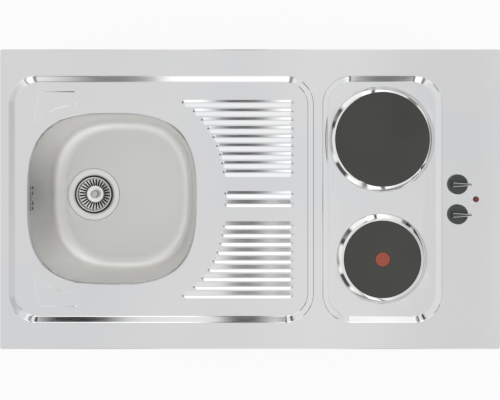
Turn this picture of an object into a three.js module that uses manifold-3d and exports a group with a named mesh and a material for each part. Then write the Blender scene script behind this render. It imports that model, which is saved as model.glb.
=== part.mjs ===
import * as THREE from 'three';
import { mergeVertices } from 'three/addons/utils/BufferGeometryUtils.js';
import Module from 'manifold-3d';

// A lay-on kitchenette top: a pressed steel worktop with a welded bowl, a ribbed drainer
// and two sealed hotplates. Millimetres, +X right, +Y towards the wall, +Z up.
// The origin is the middle of the plan, on the plane that the folded rim rests on.

// ---------------------------------------------------------------- driving sizes

// worktop sheet
const worktopWidth = 1000;
const worktopDepth = 600;
const rimHeight = 40;
const sheetGauge = 1;
const foldRadius = 3;
const rimCornerRadius = 4;
const returnLip = 15;

// pressed recesses
const recessDrop = 8;
const bevelWidth = 13;
const creaseRadius = 1.6;
const recessCornerRadius = 58;
const recessMargin = 53;
const sinkMargin = 16;
const ridgeWidth = 17.4;
const hobSideMargin = 0.4;
const controlPanelWidth = 115.2;

// bowl
const bowlWidth = 343;
const bowlDepth = 155;
const bowlMargin = 34.5;
const bowlSideMargin = 73.5;
const bowlGauge = 1;
const bowlSquareness = 3;
const lipRadius = 3.6;
const collarDepth = 7;
const bowlDraftX = 16;
const bowlDraftY = 8;
const bowlFillet = 36;

// drainer ribs
const ribPitch = 17.45;
const ribWidth = 13;
const ribHeight = 3.4;
const ribGroupStart = 51;
const ribSideMargin = 36;
const ribRightMargin = 25.1;
const ribBowlOffset = 58;
const ribCurveSquareness = 2.35;

// tap ledges
const ledgeHeight = 1.2;
const ledgeBowlOffset = 20;
const ledgeSideMargin = 18;
const ledgeLeft = 24;
const ledgeLength = 108;
const ledgeEdge = 2;
const ledgeCorner = { x: 14, y: 26 };

// battens
const battenWidth = 43;
const sideBattenWidth = 20;
const rightBattenWidth = 28;
const middleBattenWidth = 40;

// hotplates
const rearRingMargin = 7.5;
const frontRingMargin = 22.7;
const ringClearance = 42.2;
const ringDifference = 15.2;
const rearRingWidth = 12.5;
const frontRingWidth = 14.6;
const plateRise = 12;
const castingDepth = 18;
const plateFlange = 7.3;
const neckInset = 4;
const dimpleRadius = 14.6;
const dimpleDepth = 1.3;
const ringGauge = 0.8;
const ringCrown = 6;
const cutoutGap = 3.5;
const shieldGauge = 0.8;
const shieldDepth = 17;
const bridgeGauge = 2;
const bridgeWidth = 28;
const studRadius = 3;
const nutAcross = 10;
const nutHeight = 3.7;
const terminalInset = 32.7;
const terminalSize = { x: 36, y: 14, z: 20 };

// hob tray
const trayDepth = 70;
const trayGauge = 1;
const trayMargin = 5;
const trayScrewRadius = 2;
const trayScrewLength = 16;
const trayScrewInset = 60;
const trayScrewZ = 16;
const ventLength = 70;
const ventWidth = 5;
const ventPitch = 16;
const ventCount = 5;

// controls
const controlInset = 30.2;
const knobSpacing = 60;
const knobRadius = 20;
const knobHeight = 25;
const knobSkirt = 6;
const gripWidth = 11;
const gripNose = 21.8;
const shaftRadius = 3;
const switchSide = 42;
const switchHeight = 34;
const switchDrop = 6;
const bracketGauge = 1.2;
const lampOffset = 37;
const lampRadius = 6;
const lampBarrel = 26;

// supply
const glandThread = 7.6;
const glandCap = 11;
const glandBore = 4.5;
const glandLength = 20;
const glandDrop = 58;
const leadRadius = 2.5;
const lampLeadRadius = 1.6;
const leadEnd = 5;
const leadSweep = { x: 70, y: 14 };
const mainsBlock = { x: 40, y: 22, z: 17, gap: 28 };

// strainer waste
const wasteOffset = 67;
const wasteFlangeRadius = 57;
const wasteSeatDepth = 2.5;
const wasteCupRadius = 44.5;
const wasteCupDepth = 30;
const pressedGauge = 1.1;
const basketRadius = 41.5;
const basketFloorRadius = 20.5;
const basketDepth = 19;
const slotCount = 28;
const slotWidth = 2.2;
const strainerKnobRadius = 8.3;
const strainerKnobHeight = 17;
const strainerStemRadius = 3;
const outletRadius = 23.9;
const outletBore = 20;
const outletLength = 40;
const portRadius = 6.5;
const bossRadius = 7;
const wasteScrewRadius = 3;

// overflow
const overflowPitch = 10.5;
const overflowSlot = 7;
const overflowRowGap = 12;
const overflowDrop = 20.5;
const overflowBoxDepth = 20;
const overflowScrewRadius = 2.5;
const gasketThickness = 2.5;
const spigotRadius = 6.1;
const spigotLength = 9;
const hoseRadius = 9.6;
const hoseBore = 7;
const hoseRibPitch = 7;
const hoseBendHeight = 38;

// clearances
const seatGap = 0.3;
const runningGap = 0.35;

// facets round a full turn
const wideSides = 32;
const mediumSides = 24;
const smallSides = 14;
const holeSides = 8;
const bowlPoints = 36;

// ---------------------------------------------------------------- levels and places

const deck = rimHeight;
const deckUnderside = deck - sheetGauge;
const floor = deck - recessDrop;
const floorUnderside = floor - sheetGauge;
const halfWidth = worktopWidth / 2;
const halfDepth = worktopDepth / 2;
const recessHalfDepth = halfDepth - recessMargin;

const floorHalfDepth = recessHalfDepth - bevelWidth;

const ringRadii = floorHalfDepth - (rearRingMargin + ringClearance + frontRingMargin) / 2;
const rearRingRadius = (ringRadii + ringDifference) / 2;
const frontRingRadius = (ringRadii - ringDifference) / 2;
const rearPlateRadius = rearRingRadius - rearRingWidth;
const frontPlateRadius = frontRingRadius - frontRingWidth;
const rearPlateY = floorHalfDepth - rearRingMargin - rearRingRadius;
const frontPlateY = frontRingMargin + frontRingRadius - floorHalfDepth;
const terminalOffset = frontPlateRadius - terminalInset;

const sinkLeft = -halfWidth + sinkMargin;
const hobRight = halfWidth - controlPanelWidth;
const hobLeft = hobRight - 2 * (rearRingRadius + hobSideMargin + bevelWidth);
const sinkRight = hobLeft - ridgeWidth;
const hobX = (hobLeft + hobRight) / 2;
const controlX = hobRight + controlInset;

const bowlX = sinkLeft + bowlMargin + bowlWidth / 2;
const bowlLength = 2 * (recessHalfDepth - bowlSideMargin);
const collarBottom = floor - collarDepth;
const bowlTop = collarBottom - seatGap;
const bowlFloor = floor - bowlDepth;
const wasteX = bowlX - wasteOffset;
const wasteSeat = bowlFloor - wasteSeatDepth;
const wasteSeatUnderside = wasteSeat - bowlGauge;

const battenEndX = halfWidth - sheetGauge - foldRadius;
const battenOuter = halfDepth - sheetGauge - foldRadius;
const battenInner = battenOuter - battenWidth;
const battenBottom = sheetGauge + seatGap;
const crossBattenEnd = battenInner - seatGap;
const trayTop = floorUnderside - seatGap;
const trayLeft = hobLeft + trayMargin;
const trayRight = battenEndX - rightBattenWidth - seatGap;
const trayBottom = trayTop - trayDepth;
const trayFloor = trayBottom + trayGauge;

// ---------------------------------------------------------------- materials

function metal(color, roughness) {
  return new THREE.MeshStandardMaterial({ color, roughness, metalness: 1 });
}

function plain(color, roughness) {
  return new THREE.MeshStandardMaterial({ color, roughness, metalness: 0 });
}

const satinSteel = metal(0xc9cac8, 0.32);
const bowlSteel = metal(0xb9b9b3, 0.4);
const mirrorSteel = metal(0xdcdddc, 0.12);
const castIron = metal(0x484945, 0.62);
const zincSteel = metal(0xa3a7a8, 0.45);
const brightSteel = metal(0xc2c2bd, 0.3);
const redEnamel = plain(0xa54b37, 0.5);
const softwood = plain(0xc39b6a, 0.7);
const fibreSeal = plain(0x6a6660, 0.9);
const rubber = plain(0x26272a, 0.75);
const ceramic = plain(0xe4dfd2, 0.45);
const switchPlastic = plain(0xd9d6cc, 0.5);
const knobPlastic = plain(0x3c4444, 0.42);
const lampRed = plain(0x783232, 0.25);
const wastePlastic = plain(0xe6e7e6, 0.4);
const wasteSteel = metal(0xbfbfb9, 0.34);
const hosePlastic = plain(0xb8bbbd, 0.55);
const blackPlastic = plain(0x222426, 0.5);
const leadSleeve = plain(0xcfc7ae, 0.8);

// ---------------------------------------------------------------- solids

const wasm = await Module();
wasm.setup();

// closed mesh to solid: shared corners merged, slivers dropped, faces turned outwards
function solid(geometry) {
  const bare = new THREE.BufferGeometry();
  bare.setAttribute('position', geometry.getAttribute('position').clone());
  if (geometry.index) bare.setIndex(geometry.index.clone());
  const merged = mergeVertices(bare, 1e-4);
  const position = merged.getAttribute('position');
  const index = merged.index.array;
  const triangles = [];
  let volume = 0;
  const a = new THREE.Vector3();
  const b = new THREE.Vector3();
  const c = new THREE.Vector3();
  for (let i = 0; i < index.length; i += 3) {
    const [p, q, r] = [index[i], index[i + 1], index[i + 2]];
    if (p === q || q === r || r === p) continue;
    triangles.push(p, q, r);
    a.fromBufferAttribute(position, p);
    b.fromBufferAttribute(position, q);
    c.fromBufferAttribute(position, r);
    volume += a.dot(b.cross(c));
  }
  if (volume < 0) triangles.reverse();
  return new wasm.Manifold(new wasm.Mesh({
    numProp: 3,
    vertProperties: new Float32Array(position.array),
    triVerts: new Uint32Array(triangles),
  }));
}

function subtract(body, ...tools) {
  return tools.reduce((rest, tool) => rest.subtract(tool), body);
}

function add(body, ...others) {
  return others.reduce((sum, other) => sum.add(other), body);
}

function mesh(name, body, material) {
  const { vertProperties, triVerts } = body.getMesh();
  const geometry = new THREE.BufferGeometry();
  geometry.setAttribute('position', new THREE.BufferAttribute(vertProperties, 3));
  geometry.setIndex(new THREE.BufferAttribute(triVerts, 1));
  geometry.computeVertexNormals();
  const piece = new THREE.Mesh(geometry, material);
  piece.name = name;
  return piece;
}

function block(x0, x1, y0, y1, z0, z1) {
  const geometry = new THREE.BoxGeometry(x1 - x0, y1 - y0, z1 - z0);
  geometry.translate((x0 + x1) / 2, (y0 + y1) / 2, (z0 + z1) / 2);
  return solid(geometry);
}

function drum(radius, z0, z1, x = 0, y = 0, sides = smallSides) {
  const geometry = new THREE.CylinderGeometry(radius, radius, z1 - z0, sides);
  geometry.rotateX(Math.PI / 2);
  geometry.translate(x, y, (z0 + z1) / 2);
  return solid(geometry);
}

// a profile of [radius, height] pairs turned about Z, which ends on the axis or closes
function turned(profile, sides, x = 0, y = 0) {
  const onAxis = profile[0][0] === 0;
  const closed = onAxis ? profile : [...profile, profile[0]];
  const geometry = new THREE.LatheGeometry(closed.map(([r, z]) => new THREE.Vector2(r, z)), sides);
  geometry.rotateX(Math.PI / 2);
  geometry.translate(x, y, 0);
  return solid(geometry);
}

// an upright plate of a plan outline
function plate(outline, z0, z1, holes = []) {
  const shape = new THREE.Shape(outline);
  shape.holes = holes.map((hole) => new THREE.Path(hole));
  const geometry = new THREE.ExtrudeGeometry(shape, { depth: z1 - z0, bevelEnabled: false });
  geometry.translate(0, 0, z0);
  return solid(geometry);
}

// a section drawn as [across, height] and run along Y
function bar(outline, y0, y1) {
  const shape = new THREE.Shape(outline.map(([u, v]) => new THREE.Vector2(u, v)));
  const geometry = new THREE.ExtrudeGeometry(shape, { depth: y1 - y0, bevelEnabled: false });
  geometry.rotateX(Math.PI / 2);
  geometry.translate(0, y1, 0);
  return solid(geometry);
}

// plan outlines of equal point counts, stacked at their heights and skinned
function loft(levels) {
  const count = levels[0].outline.length;
  const points = levels.flatMap(({ outline, z }) => outline.map((p) => [p.x, p.y, z]));
  const faces = [];
  for (let level = 0; level + 1 < levels.length; level += 1) {
    for (let i = 0; i < count; i += 1) {
      const a = level * count + i;
      const b = level * count + (i + 1) % count;
      faces.push(a, b, b + count, a, b + count, a + count);
    }
  }
  const last = (levels.length - 1) * count;
  for (const [p, q, r] of THREE.ShapeUtils.triangulateShape(levels[0].outline, [])) {
    faces.push(r, q, p);
    faces.push(last + p, last + q, last + r);
  }
  const geometry = new THREE.BufferGeometry();
  geometry.setAttribute('position', new THREE.Float32BufferAttribute(points.flat(), 3));
  geometry.setIndex(faces);
  return solid(geometry);
}

// ---------------------------------------------------------------- outlines

function arcPoints(x, y, radius, from, to, steps) {
  return Array.from({ length: steps + 1 }, (_, i) => {
    const angle = from + (to - from) * i / steps;
    return new THREE.Vector2(x + radius * Math.cos(angle), y + radius * Math.sin(angle));
  });
}

function roundedRectangle(x0, x1, y0, y1, radius, steps) {
  const quarter = Math.PI / 2;
  return [
    ...arcPoints(x1 - radius, y1 - radius, radius, 0, quarter, steps),
    ...arcPoints(x0 + radius, y1 - radius, radius, quarter, 2 * quarter, steps),
    ...arcPoints(x0 + radius, y0 + radius, radius, 2 * quarter, 3 * quarter, steps),
    ...arcPoints(x1 - radius, y0 + radius, radius, 3 * quarter, 4 * quarter, steps),
  ];
}

function superEllipse(x, y, a, b, squareness, count) {
  const bend = (value) => Math.sign(value) * Math.abs(value) ** (2 / squareness);
  return Array.from({ length: count }, (_, i) => {
    const angle = 2 * Math.PI * (i + 0.5) / count;
    return new THREE.Vector2(x + a * bend(Math.cos(angle)), y + b * bend(Math.sin(angle)));
  });
}

function stadium(x0, x1, y, half, steps) {
  return [
    ...arcPoints(x1 - half, y, half, -Math.PI / 2, Math.PI / 2, steps),
    ...arcPoints(x0 + half, y, half, Math.PI / 2, Math.PI * 1.5, steps),
  ];
}

// ---------------------------------------------------------------- worktop

// inset and drop of a recess bevel, from its upper crease to its foot
const bevelProfile = [
  [0, 0],
  [creaseRadius, -creaseRadius * 0.4],
  [bevelWidth - creaseRadius, -recessDrop + creaseRadius * 0.4],
  [bevelWidth, -recessDrop],
];

function rimOutline(inset) {
  const x = halfWidth - inset;
  const y = halfDepth - inset;
  return roundedRectangle(-x, x, -y, y, Math.max(rimCornerRadius - inset, 0.5), 3);
}

// the folded slab between the resting plane and the deck, shrunk by an inset
function slab(bottom, inset) {
  const top = deck - inset;
  const radius = foldRadius - inset / 2;
  return loft([
    { z: bottom, outline: rimOutline(inset) },
    { z: top - radius, outline: rimOutline(inset) },
    { z: top - radius * 0.29, outline: rimOutline(inset + radius * 0.29) },
    { z: top, outline: rimOutline(inset + radius) },
  ]);
}

// a recess as a tool, thickened by a sheet for the underside
function recess(left, right, thickness) {
  const spread = thickness * 0.3;
  const outline = (inset) => roundedRectangle(
    left + inset, right - inset, -recessHalfDepth + inset, recessHalfDepth - inset,
    recessCornerRadius - inset, 5,
  );
  const profile = thickness > 0 ? [bevelProfile[0], bevelProfile[3]] : bevelProfile;
  const levels = profile.map(([inset, drop]) => (
    { z: deck - thickness + drop, outline: outline(inset - spread) }
  ));
  return loft([{ z: deck + 1, outline: outline(-spread) }, ...levels].reverse());
}

// height and inset of a rib's section above the recess floor
const ribProfile = [
  [-sheetGauge / 2, 0],
  [0, 0],
  [ribHeight * 0.72, ribWidth * 0.17],
  [ribHeight, ribWidth * 0.42],
];

function ribPlaces() {
  const last = floorHalfDepth - ribSideMargin;
  const places = [ribPitch / 2];
  for (let y = ribGroupStart; y <= last; y += ribPitch) places.push(y);
  return places.flatMap((y) => [y, -y]);
}

// ribs start on a curve round the bowl and end in line, short of the ridge
function ribEnds(y) {
  const a = bowlWidth / 2 + ribBowlOffset;
  const b = bowlLength / 2 + ribBowlOffset;
  const reach = a * (1 - Math.abs(y / b) ** ribCurveSquareness) ** (1 / ribCurveSquareness);
  return [bowlX + reach, sinkRight - bevelWidth - ribRightMargin];
}

function rib(y, thickness) {
  const [start, end] = ribEnds(y);
  const levels = ribProfile.map(([height, inset]) => {
    const shrink = Math.min(inset + thickness * 0.4, ribWidth * 0.46);
    const outline = stadium(start + shrink, end - shrink, y, ribWidth / 2 - shrink, 3);
    return { z: floor - thickness + height, outline };
  });
  return loft(levels);
}

// the ledge runs along the recess and keeps clear of the bowl on a concentric curve
function ledgeOutline(side, inset) {
  const left = sinkLeft + bevelWidth + ledgeLeft + inset;
  const right = left + ledgeLength - 2 * inset;
  const outer = floorHalfDepth - ledgeSideMargin - inset;
  const offset = ledgeBowlOffset + inset;
  const a = bowlWidth / 2 + offset;
  const b = bowlLength / 2 + offset;
  const inner = Array.from({ length: 7 }, (_, i) => {
    const x = left + (right - left) * i / 6;
    const reach = (1 - Math.abs((x - bowlX) / a) ** bowlSquareness) ** (1 / bowlSquareness);
    return new THREE.Vector2(x, b * reach);
  });
  const end = inner[inner.length - 1];
  const radius = (outer - end.y) / 2;
  const nose = arcPoints(right, end.y + radius, radius, -Math.PI / 2, Math.PI / 2, 5).slice(1);
  const outerCorner = new THREE.Vector2(left + ledgeCorner.x, outer);
  const leftCorner = new THREE.Vector2(left, inner[0].y + ledgeCorner.y);
  const outline = [...inner, ...nose, outerCorner, leftCorner];
  return side > 0 ? outline : outline.map((p) => new THREE.Vector2(p.x, -p.y)).reverse();
}

function ledge(side, thickness) {
  return loft([
    { z: floor - thickness - sheetGauge / 2, outline: ledgeOutline(side, 0) },
    { z: floor - thickness, outline: ledgeOutline(side, 0) },
    { z: floor - thickness + ledgeHeight, outline: ledgeOutline(side, ledgeEdge) },
  ]);
}

// the bowl opening rolls down into a collar that the bowl is welded to
function bowlMouth(thickness) {
  const ring = (inset) => superEllipse(
    bowlX, 0, bowlWidth / 2 - inset + thickness, bowlLength / 2 - inset + thickness,
    bowlSquareness, bowlPoints,
  );
  const drop = thickness;
  return loft([
    { z: collarBottom - 1, outline: ring(lipRadius) },
    { z: floor - drop - lipRadius, outline: ring(lipRadius) },
    { z: floor - drop - lipRadius * 0.29, outline: ring(lipRadius * 0.71) },
    { z: floor - drop, outline: ring(0) },
    { z: deck + 1, outline: ring(0) },
  ]);
}

// where the pressed side of the sheet lies, above or below by one gauge
function pressedForm(thickness) {
  const sides = [1, -1];
  const ledges = sides.map((side) => ledge(side, thickness));
  const ribs = ribPlaces().map((y) => rib(y, thickness));
  return { ledges, ribs };
}

function worktopSheet() {
  const hollowTop = sheetGauge;
  const top = pressedForm(0);
  const under = pressedForm(sheetGauge);
  const outside = add(
    subtract(slab(0, 0), recess(sinkLeft, sinkRight, 0), recess(hobLeft, hobRight, 0)),
    ...top.ledges, ...top.ribs,
  );
  const collar = bowlMouth(sheetGauge).intersect(
    block(-halfWidth, halfWidth, -halfDepth, halfDepth, collarBottom, floorUnderside),
  );
  const inside = add(
    subtract(
      slab(hollowTop, sheetGauge),
      recess(sinkLeft, sinkRight, sheetGauge), recess(hobLeft, hobRight, sheetGauge), collar,
    ),
    ...under.ledges, ...under.ribs,
  );
  const mouth = plate(rimOutline(returnLip), -1, hollowTop + 1);
  const cutouts = hotplates.map(({ y, plateRadius }) => (
    drum(plateRadius + cutoutGap, floorUnderside - 1, deck, hobX, y, wideSides)
  ));
  const shaftHoles = knobPlaces.map((y) => (
    drum(shaftRadius + 2, deckUnderside - 1, deck + 1, controlX, y, holeSides)
  ));
  const lampHole = drum(lampHoleRadius, deckUnderside - 1, deck + 1, lampX, 0);
  return subtract(outside, inside, mouth, bowlMouth(0), ...cutouts, ...shaftHoles, lampHole);
}

// ---------------------------------------------------------------- bowl

// the bowl's inner skin, moved out by an offset: drafted walls, a wide fillet, a flat floor
function bowlForm(offset, top) {
  const startX = bowlWidth / 2 - lipRadius + offset;
  const startY = bowlLength / 2 - lipRadius + offset;
  const depth = bowlTop - bowlFloor;
  const ring = (z, inset) => {
    const fall = Math.min((bowlTop - z) / depth, 1);
    const a = startX - bowlDraftX * fall - inset;
    const b = startY - bowlDraftY * fall - inset;
    return { z, outline: superEllipse(bowlX, 0, a, b, bowlSquareness - 0.35 * fall, bowlPoints) };
  };
  const base = bowlFloor - offset;
  const turns = [90, 66, 44, 24, 0];
  const fillet = turns.map((degrees) => {
    const angle = THREE.MathUtils.degToRad(degrees);
    return ring(base + bowlFillet * (1 - Math.sin(angle)), bowlFillet * (1 - Math.cos(angle)));
  });
  return loft([...fillet, ring(bowlTop, 0), { ...ring(bowlTop, 0), z: top }]);
}

const seatRadius = wasteFlangeRadius + 2 * seatGap + 0.5;

// overflow slots stand in pairs either side of the clamping screw
const overflowZ = floor - overflowDrop;
const overflowWallX = bowlX - bowlWidth / 2 + lipRadius
  + bowlDraftX * (bowlTop - overflowZ) / (bowlTop - bowlFloor);

function overflowSlots(x0, x1) {
  const slots = [];
  for (const column of [-2, -1, 1, 2]) {
    for (const row of [-1, 1]) {
      const y = column * overflowPitch;
      const z = overflowZ + row * overflowRowGap / 2;
      const half = overflowSlot / 2;
      slots.push(block(x0, x1, y - half, y + half, z - half, z + half));
    }
  }
  return slots;
}

function sinkBowl() {
  const outside = add(
    bowlForm(bowlGauge, bowlTop),
    drum(seatRadius + bowlGauge, wasteSeatUnderside, bowlFloor + 1, wasteX, 0, mediumSides),
  );
  const seat = drum(seatRadius, wasteSeat, bowlFloor + 2, wasteX, 0, mediumSides);
  const wasteHole = drum(wasteCupRadius + 1, wasteSeatUnderside - 1, bowlFloor, wasteX, 0, mediumSides);
  const [x0, x1] = [overflowWallX - 12, overflowWallX + 12];
  const slots = overflowSlots(x0, x1);
  const screwHole = rodX(overflowScrewRadius + runningGap, x0, x1, 0, overflowZ, holeSides);
  return subtract(outside, bowlForm(0, bowlTop + 1), seat, wasteHole, ...slots, screwHole);
}

// ---------------------------------------------------------------- round bars along X and Y

function rodX(radius, x0, x1, y, z, sides) {
  const geometry = new THREE.CylinderGeometry(radius, radius, x1 - x0, sides);
  geometry.rotateZ(Math.PI / 2);
  geometry.translate((x0 + x1) / 2, y, z);
  return solid(geometry);
}

function rodY(radius, y0, y1, x, z, sides) {
  const geometry = new THREE.CylinderGeometry(radius, radius, y1 - y0, sides);
  geometry.translate(x, (y0 + y1) / 2, z);
  return solid(geometry);
}

// ---------------------------------------------------------------- battens

function battens() {
  const tall = deckUnderside - seatGap;
  const low = floorUnderside - seatGap;
  const long = (side) => {
    const ends = [side * battenInner, side * battenOuter].sort((a, b) => a - b);
    const holes = [side * (battenInner - 1), side * (battenInner + trayScrewLength)].sort((a, b) => a - b);
    return subtract(
      block(-battenEndX, battenEndX, ...ends, battenBottom, tall),
      ...trayScrewXs.map((x) => rodY(trayScrewRadius + runningGap, ...holes, x, trayScrewZ, holeSides)),
    );
  };
  return [
    mesh('front_batten', long(-1), softwood),
    mesh('rear_batten', long(1), softwood),
    mesh('left_batten', block(-battenEndX, -battenEndX + sideBattenWidth, -crossBattenEnd, crossBattenEnd,
      battenBottom, low), softwood),
    mesh('right_batten', block(battenEndX - rightBattenWidth, battenEndX, -crossBattenEnd, crossBattenEnd,
      battenBottom, tall), softwood),
    mesh('middle_batten', block(-middleBattenWidth / 2, middleBattenWidth / 2, -crossBattenEnd,
      crossBattenEnd, 0, low), softwood),
  ];
}

// ---------------------------------------------------------------- hotplates

const hotplates = [
  { name: 'rear', y: rearPlateY, plateRadius: rearPlateRadius, ringRadius: rearRingRadius },
  { name: 'front', y: frontPlateY, plateRadius: frontPlateRadius, ringRadius: frontRingRadius },
];

const plateTop = floor + plateRise;
const castingBottom = plateTop - castingDepth;
const flangeBottom = plateTop - plateFlange;
const castingUnderside = castingBottom + 5;
const shieldTop = castingBottom - seatGap;
const shieldBottom = shieldTop - shieldDepth;
const bridgeTop = shieldBottom - seatGap;
const bridgeBottom = bridgeTop - bridgeGauge;
const nutTop = bridgeBottom - seatGap;
const nutBottom = nutTop - nutHeight;

function casting(radius) {
  const neck = radius - neckInset;
  return turned([
    [0, castingUnderside],
    [neck - 9, castingUnderside],
    [neck - 8, castingBottom],
    [neck, castingBottom],
    [neck, flangeBottom],
    [radius, flangeBottom],
    [radius, plateTop - 1.4],
    [radius - 1.4, plateTop],
    [dimpleRadius + 0.8, plateTop],
    [dimpleRadius, plateTop - dimpleDepth],
    [0, plateTop - dimpleDepth],
  ], wideSides);
}

// a bright spill ring: an outer foot on the recess, a crown, and a lip under the casting
function trimRing(plateRadius, ringRadius) {
  const foot = floor + seatGap;
  const crown = floor + ringCrown;
  const lip = flangeBottom - seatGap;
  const inner = plateRadius - neckInset + seatGap * 2;
  return turned([
    [ringRadius, foot],
    [ringRadius - 1.4, crown - 1.6],
    [ringRadius - 4, crown],
    [plateRadius + 4, crown],
    [plateRadius + 1.2, lip],
    [inner, lip],
    [inner, lip - ringGauge],
    [plateRadius + 1.5, lip - ringGauge],
    [plateRadius + 4.3, crown - ringGauge],
    [ringRadius - 4.2, crown - ringGauge],
    [ringRadius - ringGauge, foot],
  ], wideSides);
}

function ringSeal(plateRadius, ringRadius) {
  const inner = plateRadius + cutoutGap + seatGap * 2;
  const outer = ringRadius - 5;
  const bottom = floor + seatGap;
  const top = floor + ringCrown - ringGauge - seatGap;
  return turned([[inner, bottom], [outer, bottom], [outer, top], [inner, top]], wideSides);
}

// the ceramic block hangs from the casting through a window in the shield
const terminalTop = castingUnderside - seatGap;
const terminalBottom = terminalTop - terminalSize.z;

function terminalBlank(side, gap, z0, z1) {
  const halfX = terminalSize.x / 2 + gap;
  const halfY = terminalSize.y / 2 + gap;
  const y = -side * terminalOffset;
  return block(-halfX, halfX, y - halfY, y + halfY, z0, z1);
}

function heatShield(radius, side) {
  const outer = radius - neckInset;
  const pan = turned([
    [studRadius + 1, shieldBottom],
    [outer - 8, shieldBottom],
    [outer, shieldBottom + 8],
    [outer, shieldTop],
    [outer - shieldGauge, shieldTop],
    [outer - shieldGauge, shieldBottom + 8.3],
    [outer - 8.3, shieldBottom + shieldGauge],
    [studRadius + 1, shieldBottom + shieldGauge],
  ], mediumSides);
  return subtract(pan, terminalBlank(side, 1, shieldBottom - 1, shieldBottom + shieldGauge + 1));
}

// a strap that pulls the plate down: its feet press up under the recess floor
function clampBridge(plateRadius, ringRadius) {
  const foot = ringRadius - 0.6;
  const leg = plateRadius + cutoutGap + 0.6;
  const top = floorUnderside - seatGap;
  const bend = 12;
  const under = top - bridgeGauge;
  const step = bridgeGauge * 0.6;
  const half = bridgeWidth / 2;
  const right = [
    [leg - bend, bridgeTop], [leg, top], [foot, top],
    [foot, under], [leg + step, under], [leg - bend + step, bridgeBottom],
  ];
  const left = right.map(([x, z]) => [-x, z]).reverse();
  const strap = bar([...right, ...left], -half, half);
  return subtract(strap, drum(studRadius + runningGap, bridgeBottom - 1, bridgeTop + 1));
}

function hexNut() {
  const outline = arcPoints(0, 0, nutAcross / Math.sqrt(3), 0, Math.PI * 5 / 3, 5);
  return subtract(plate(outline, nutBottom, nutTop),
    drum(studRadius + runningGap, nutBottom - 1, nutTop + 1));
}

function hotplateTerminal(side) {
  const wells = [-1.5, -0.5, 0.5, 1.5].map((step) => (
    drum(2.4, terminalBottom - 1, terminalBottom + 5, step * terminalSize.x / 4, -side * terminalOffset, 6)
  ));
  return subtract(terminalBlank(side, 0, terminalBottom, terminalTop), ...wells);
}

function rapidMark() {
  const bottom = plateTop - dimpleDepth + seatGap;
  const outer = dimpleRadius - seatGap;
  const top = plateTop - seatGap;
  const profile = [[0, bottom], [outer, bottom], [outer, top - 0.3], [outer - 0.6, top], [0, top]];
  return turned(profile, mediumSides);
}

function hotplate({ name, y, plateRadius, ringRadius }) {
  const group = new THREE.Group();
  group.position.set(hobX, y, 0);
  group.add(
    mesh(`hotplate_${name}`, casting(plateRadius), castIron),
    mesh(`trim_ring_${name}`, trimRing(plateRadius, ringRadius), mirrorSteel),
    mesh(`ring_seal_${name}`, ringSeal(plateRadius, ringRadius), fibreSeal),
    mesh(`heat_shield_${name}`, heatShield(plateRadius, Math.sign(y)), zincSteel),
    mesh(`clamp_bridge_${name}`, clampBridge(plateRadius, ringRadius), zincSteel),
    mesh(`plate_stud_${name}`, drum(studRadius, nutBottom - 3, castingUnderside - seatGap), brightSteel),
    mesh(`plate_nut_${name}`, hexNut(), brightSteel),
    mesh(`plate_terminal_${name}`, hotplateTerminal(Math.sign(y)), ceramic),
  );
  return group;
}

// ---------------------------------------------------------------- tray

const trayScrewXs = [trayLeft + trayScrewInset, trayRight - trayScrewInset];
const glandX = controlX;
const glandZ = deck - glandDrop;

function hobTray() {
  const half = crossBattenEnd;
  const outline = (inset) => roundedRectangle(
    trayLeft + inset, trayRight - inset, -half + inset, half - inset, 8 - inset, 2,
  );
  const shell = subtract(
    plate(outline(0), trayBottom, trayTop),
    plate(outline(trayGauge), trayFloor, trayTop + 1),
  );
  const vents = Array.from({ length: ventCount }, (_, i) => {
    const y = (i - (ventCount - 1) / 2) * ventPitch;
    return block(hobX - ventLength / 2, hobX + ventLength / 2, y - ventWidth / 2, y + ventWidth / 2,
      trayBottom - 1, trayFloor + 1);
  });
  const screwHoles = trayScrewXs.map((x) => (
    rodY(trayScrewRadius + runningGap, -half - 1, half + 1, x, trayScrewZ, holeSides)
  ));
  const glandHole = rodY(glandThread + runningGap, half - 5, half + 1, glandX, glandZ, smallSides);
  return subtract(shell, ...vents, ...screwHoles, glandHole);
}

function trayScrew(x, side) {
  const wall = crossBattenEnd - trayGauge;
  const head = 2.4;
  const profile = [
    [0, head + seatGap],
    [2.8, head + seatGap],
    [4, seatGap + 1],
    [4, seatGap],
    [trayScrewRadius, seatGap],
    [trayScrewRadius, -trayScrewLength + 3],
    [0, -trayScrewLength],
  ];
  const geometry = new THREE.LatheGeometry(profile.map(([r, v]) => new THREE.Vector2(r, v)), holeSides);
  if (side > 0) geometry.rotateX(Math.PI);
  geometry.translate(x, side * wall, trayScrewZ);
  return solid(geometry);
}

function trayParts() {
  const names = ['left', 'right'];
  const screws = [1, -1].flatMap((side) => trayScrewXs.map((x, i) => (
    mesh(`tray_screw_${side > 0 ? 'rear' : 'front'}_${names[i]}`, trayScrew(x, side), brightSteel)
  )));
  return [mesh('hob_tray', hobTray(), zincSteel), ...screws];
}

// ---------------------------------------------------------------- controls

const knobPlaces = [knobSpacing / 2, -knobSpacing / 2];
const knobBottom = deck + 2.5 * seatGap;
const knobTop = knobBottom + knobHeight;
const bracketTop = deckUnderside - switchDrop;
const switchTop = bracketTop - bracketGauge - seatGap;
const switchBottom = switchTop - switchHeight;
const shaftBottom = switchTop - 12;
const lampX = controlX + lampOffset;
const lampHoleRadius = lampRadius * 0.76;

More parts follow.
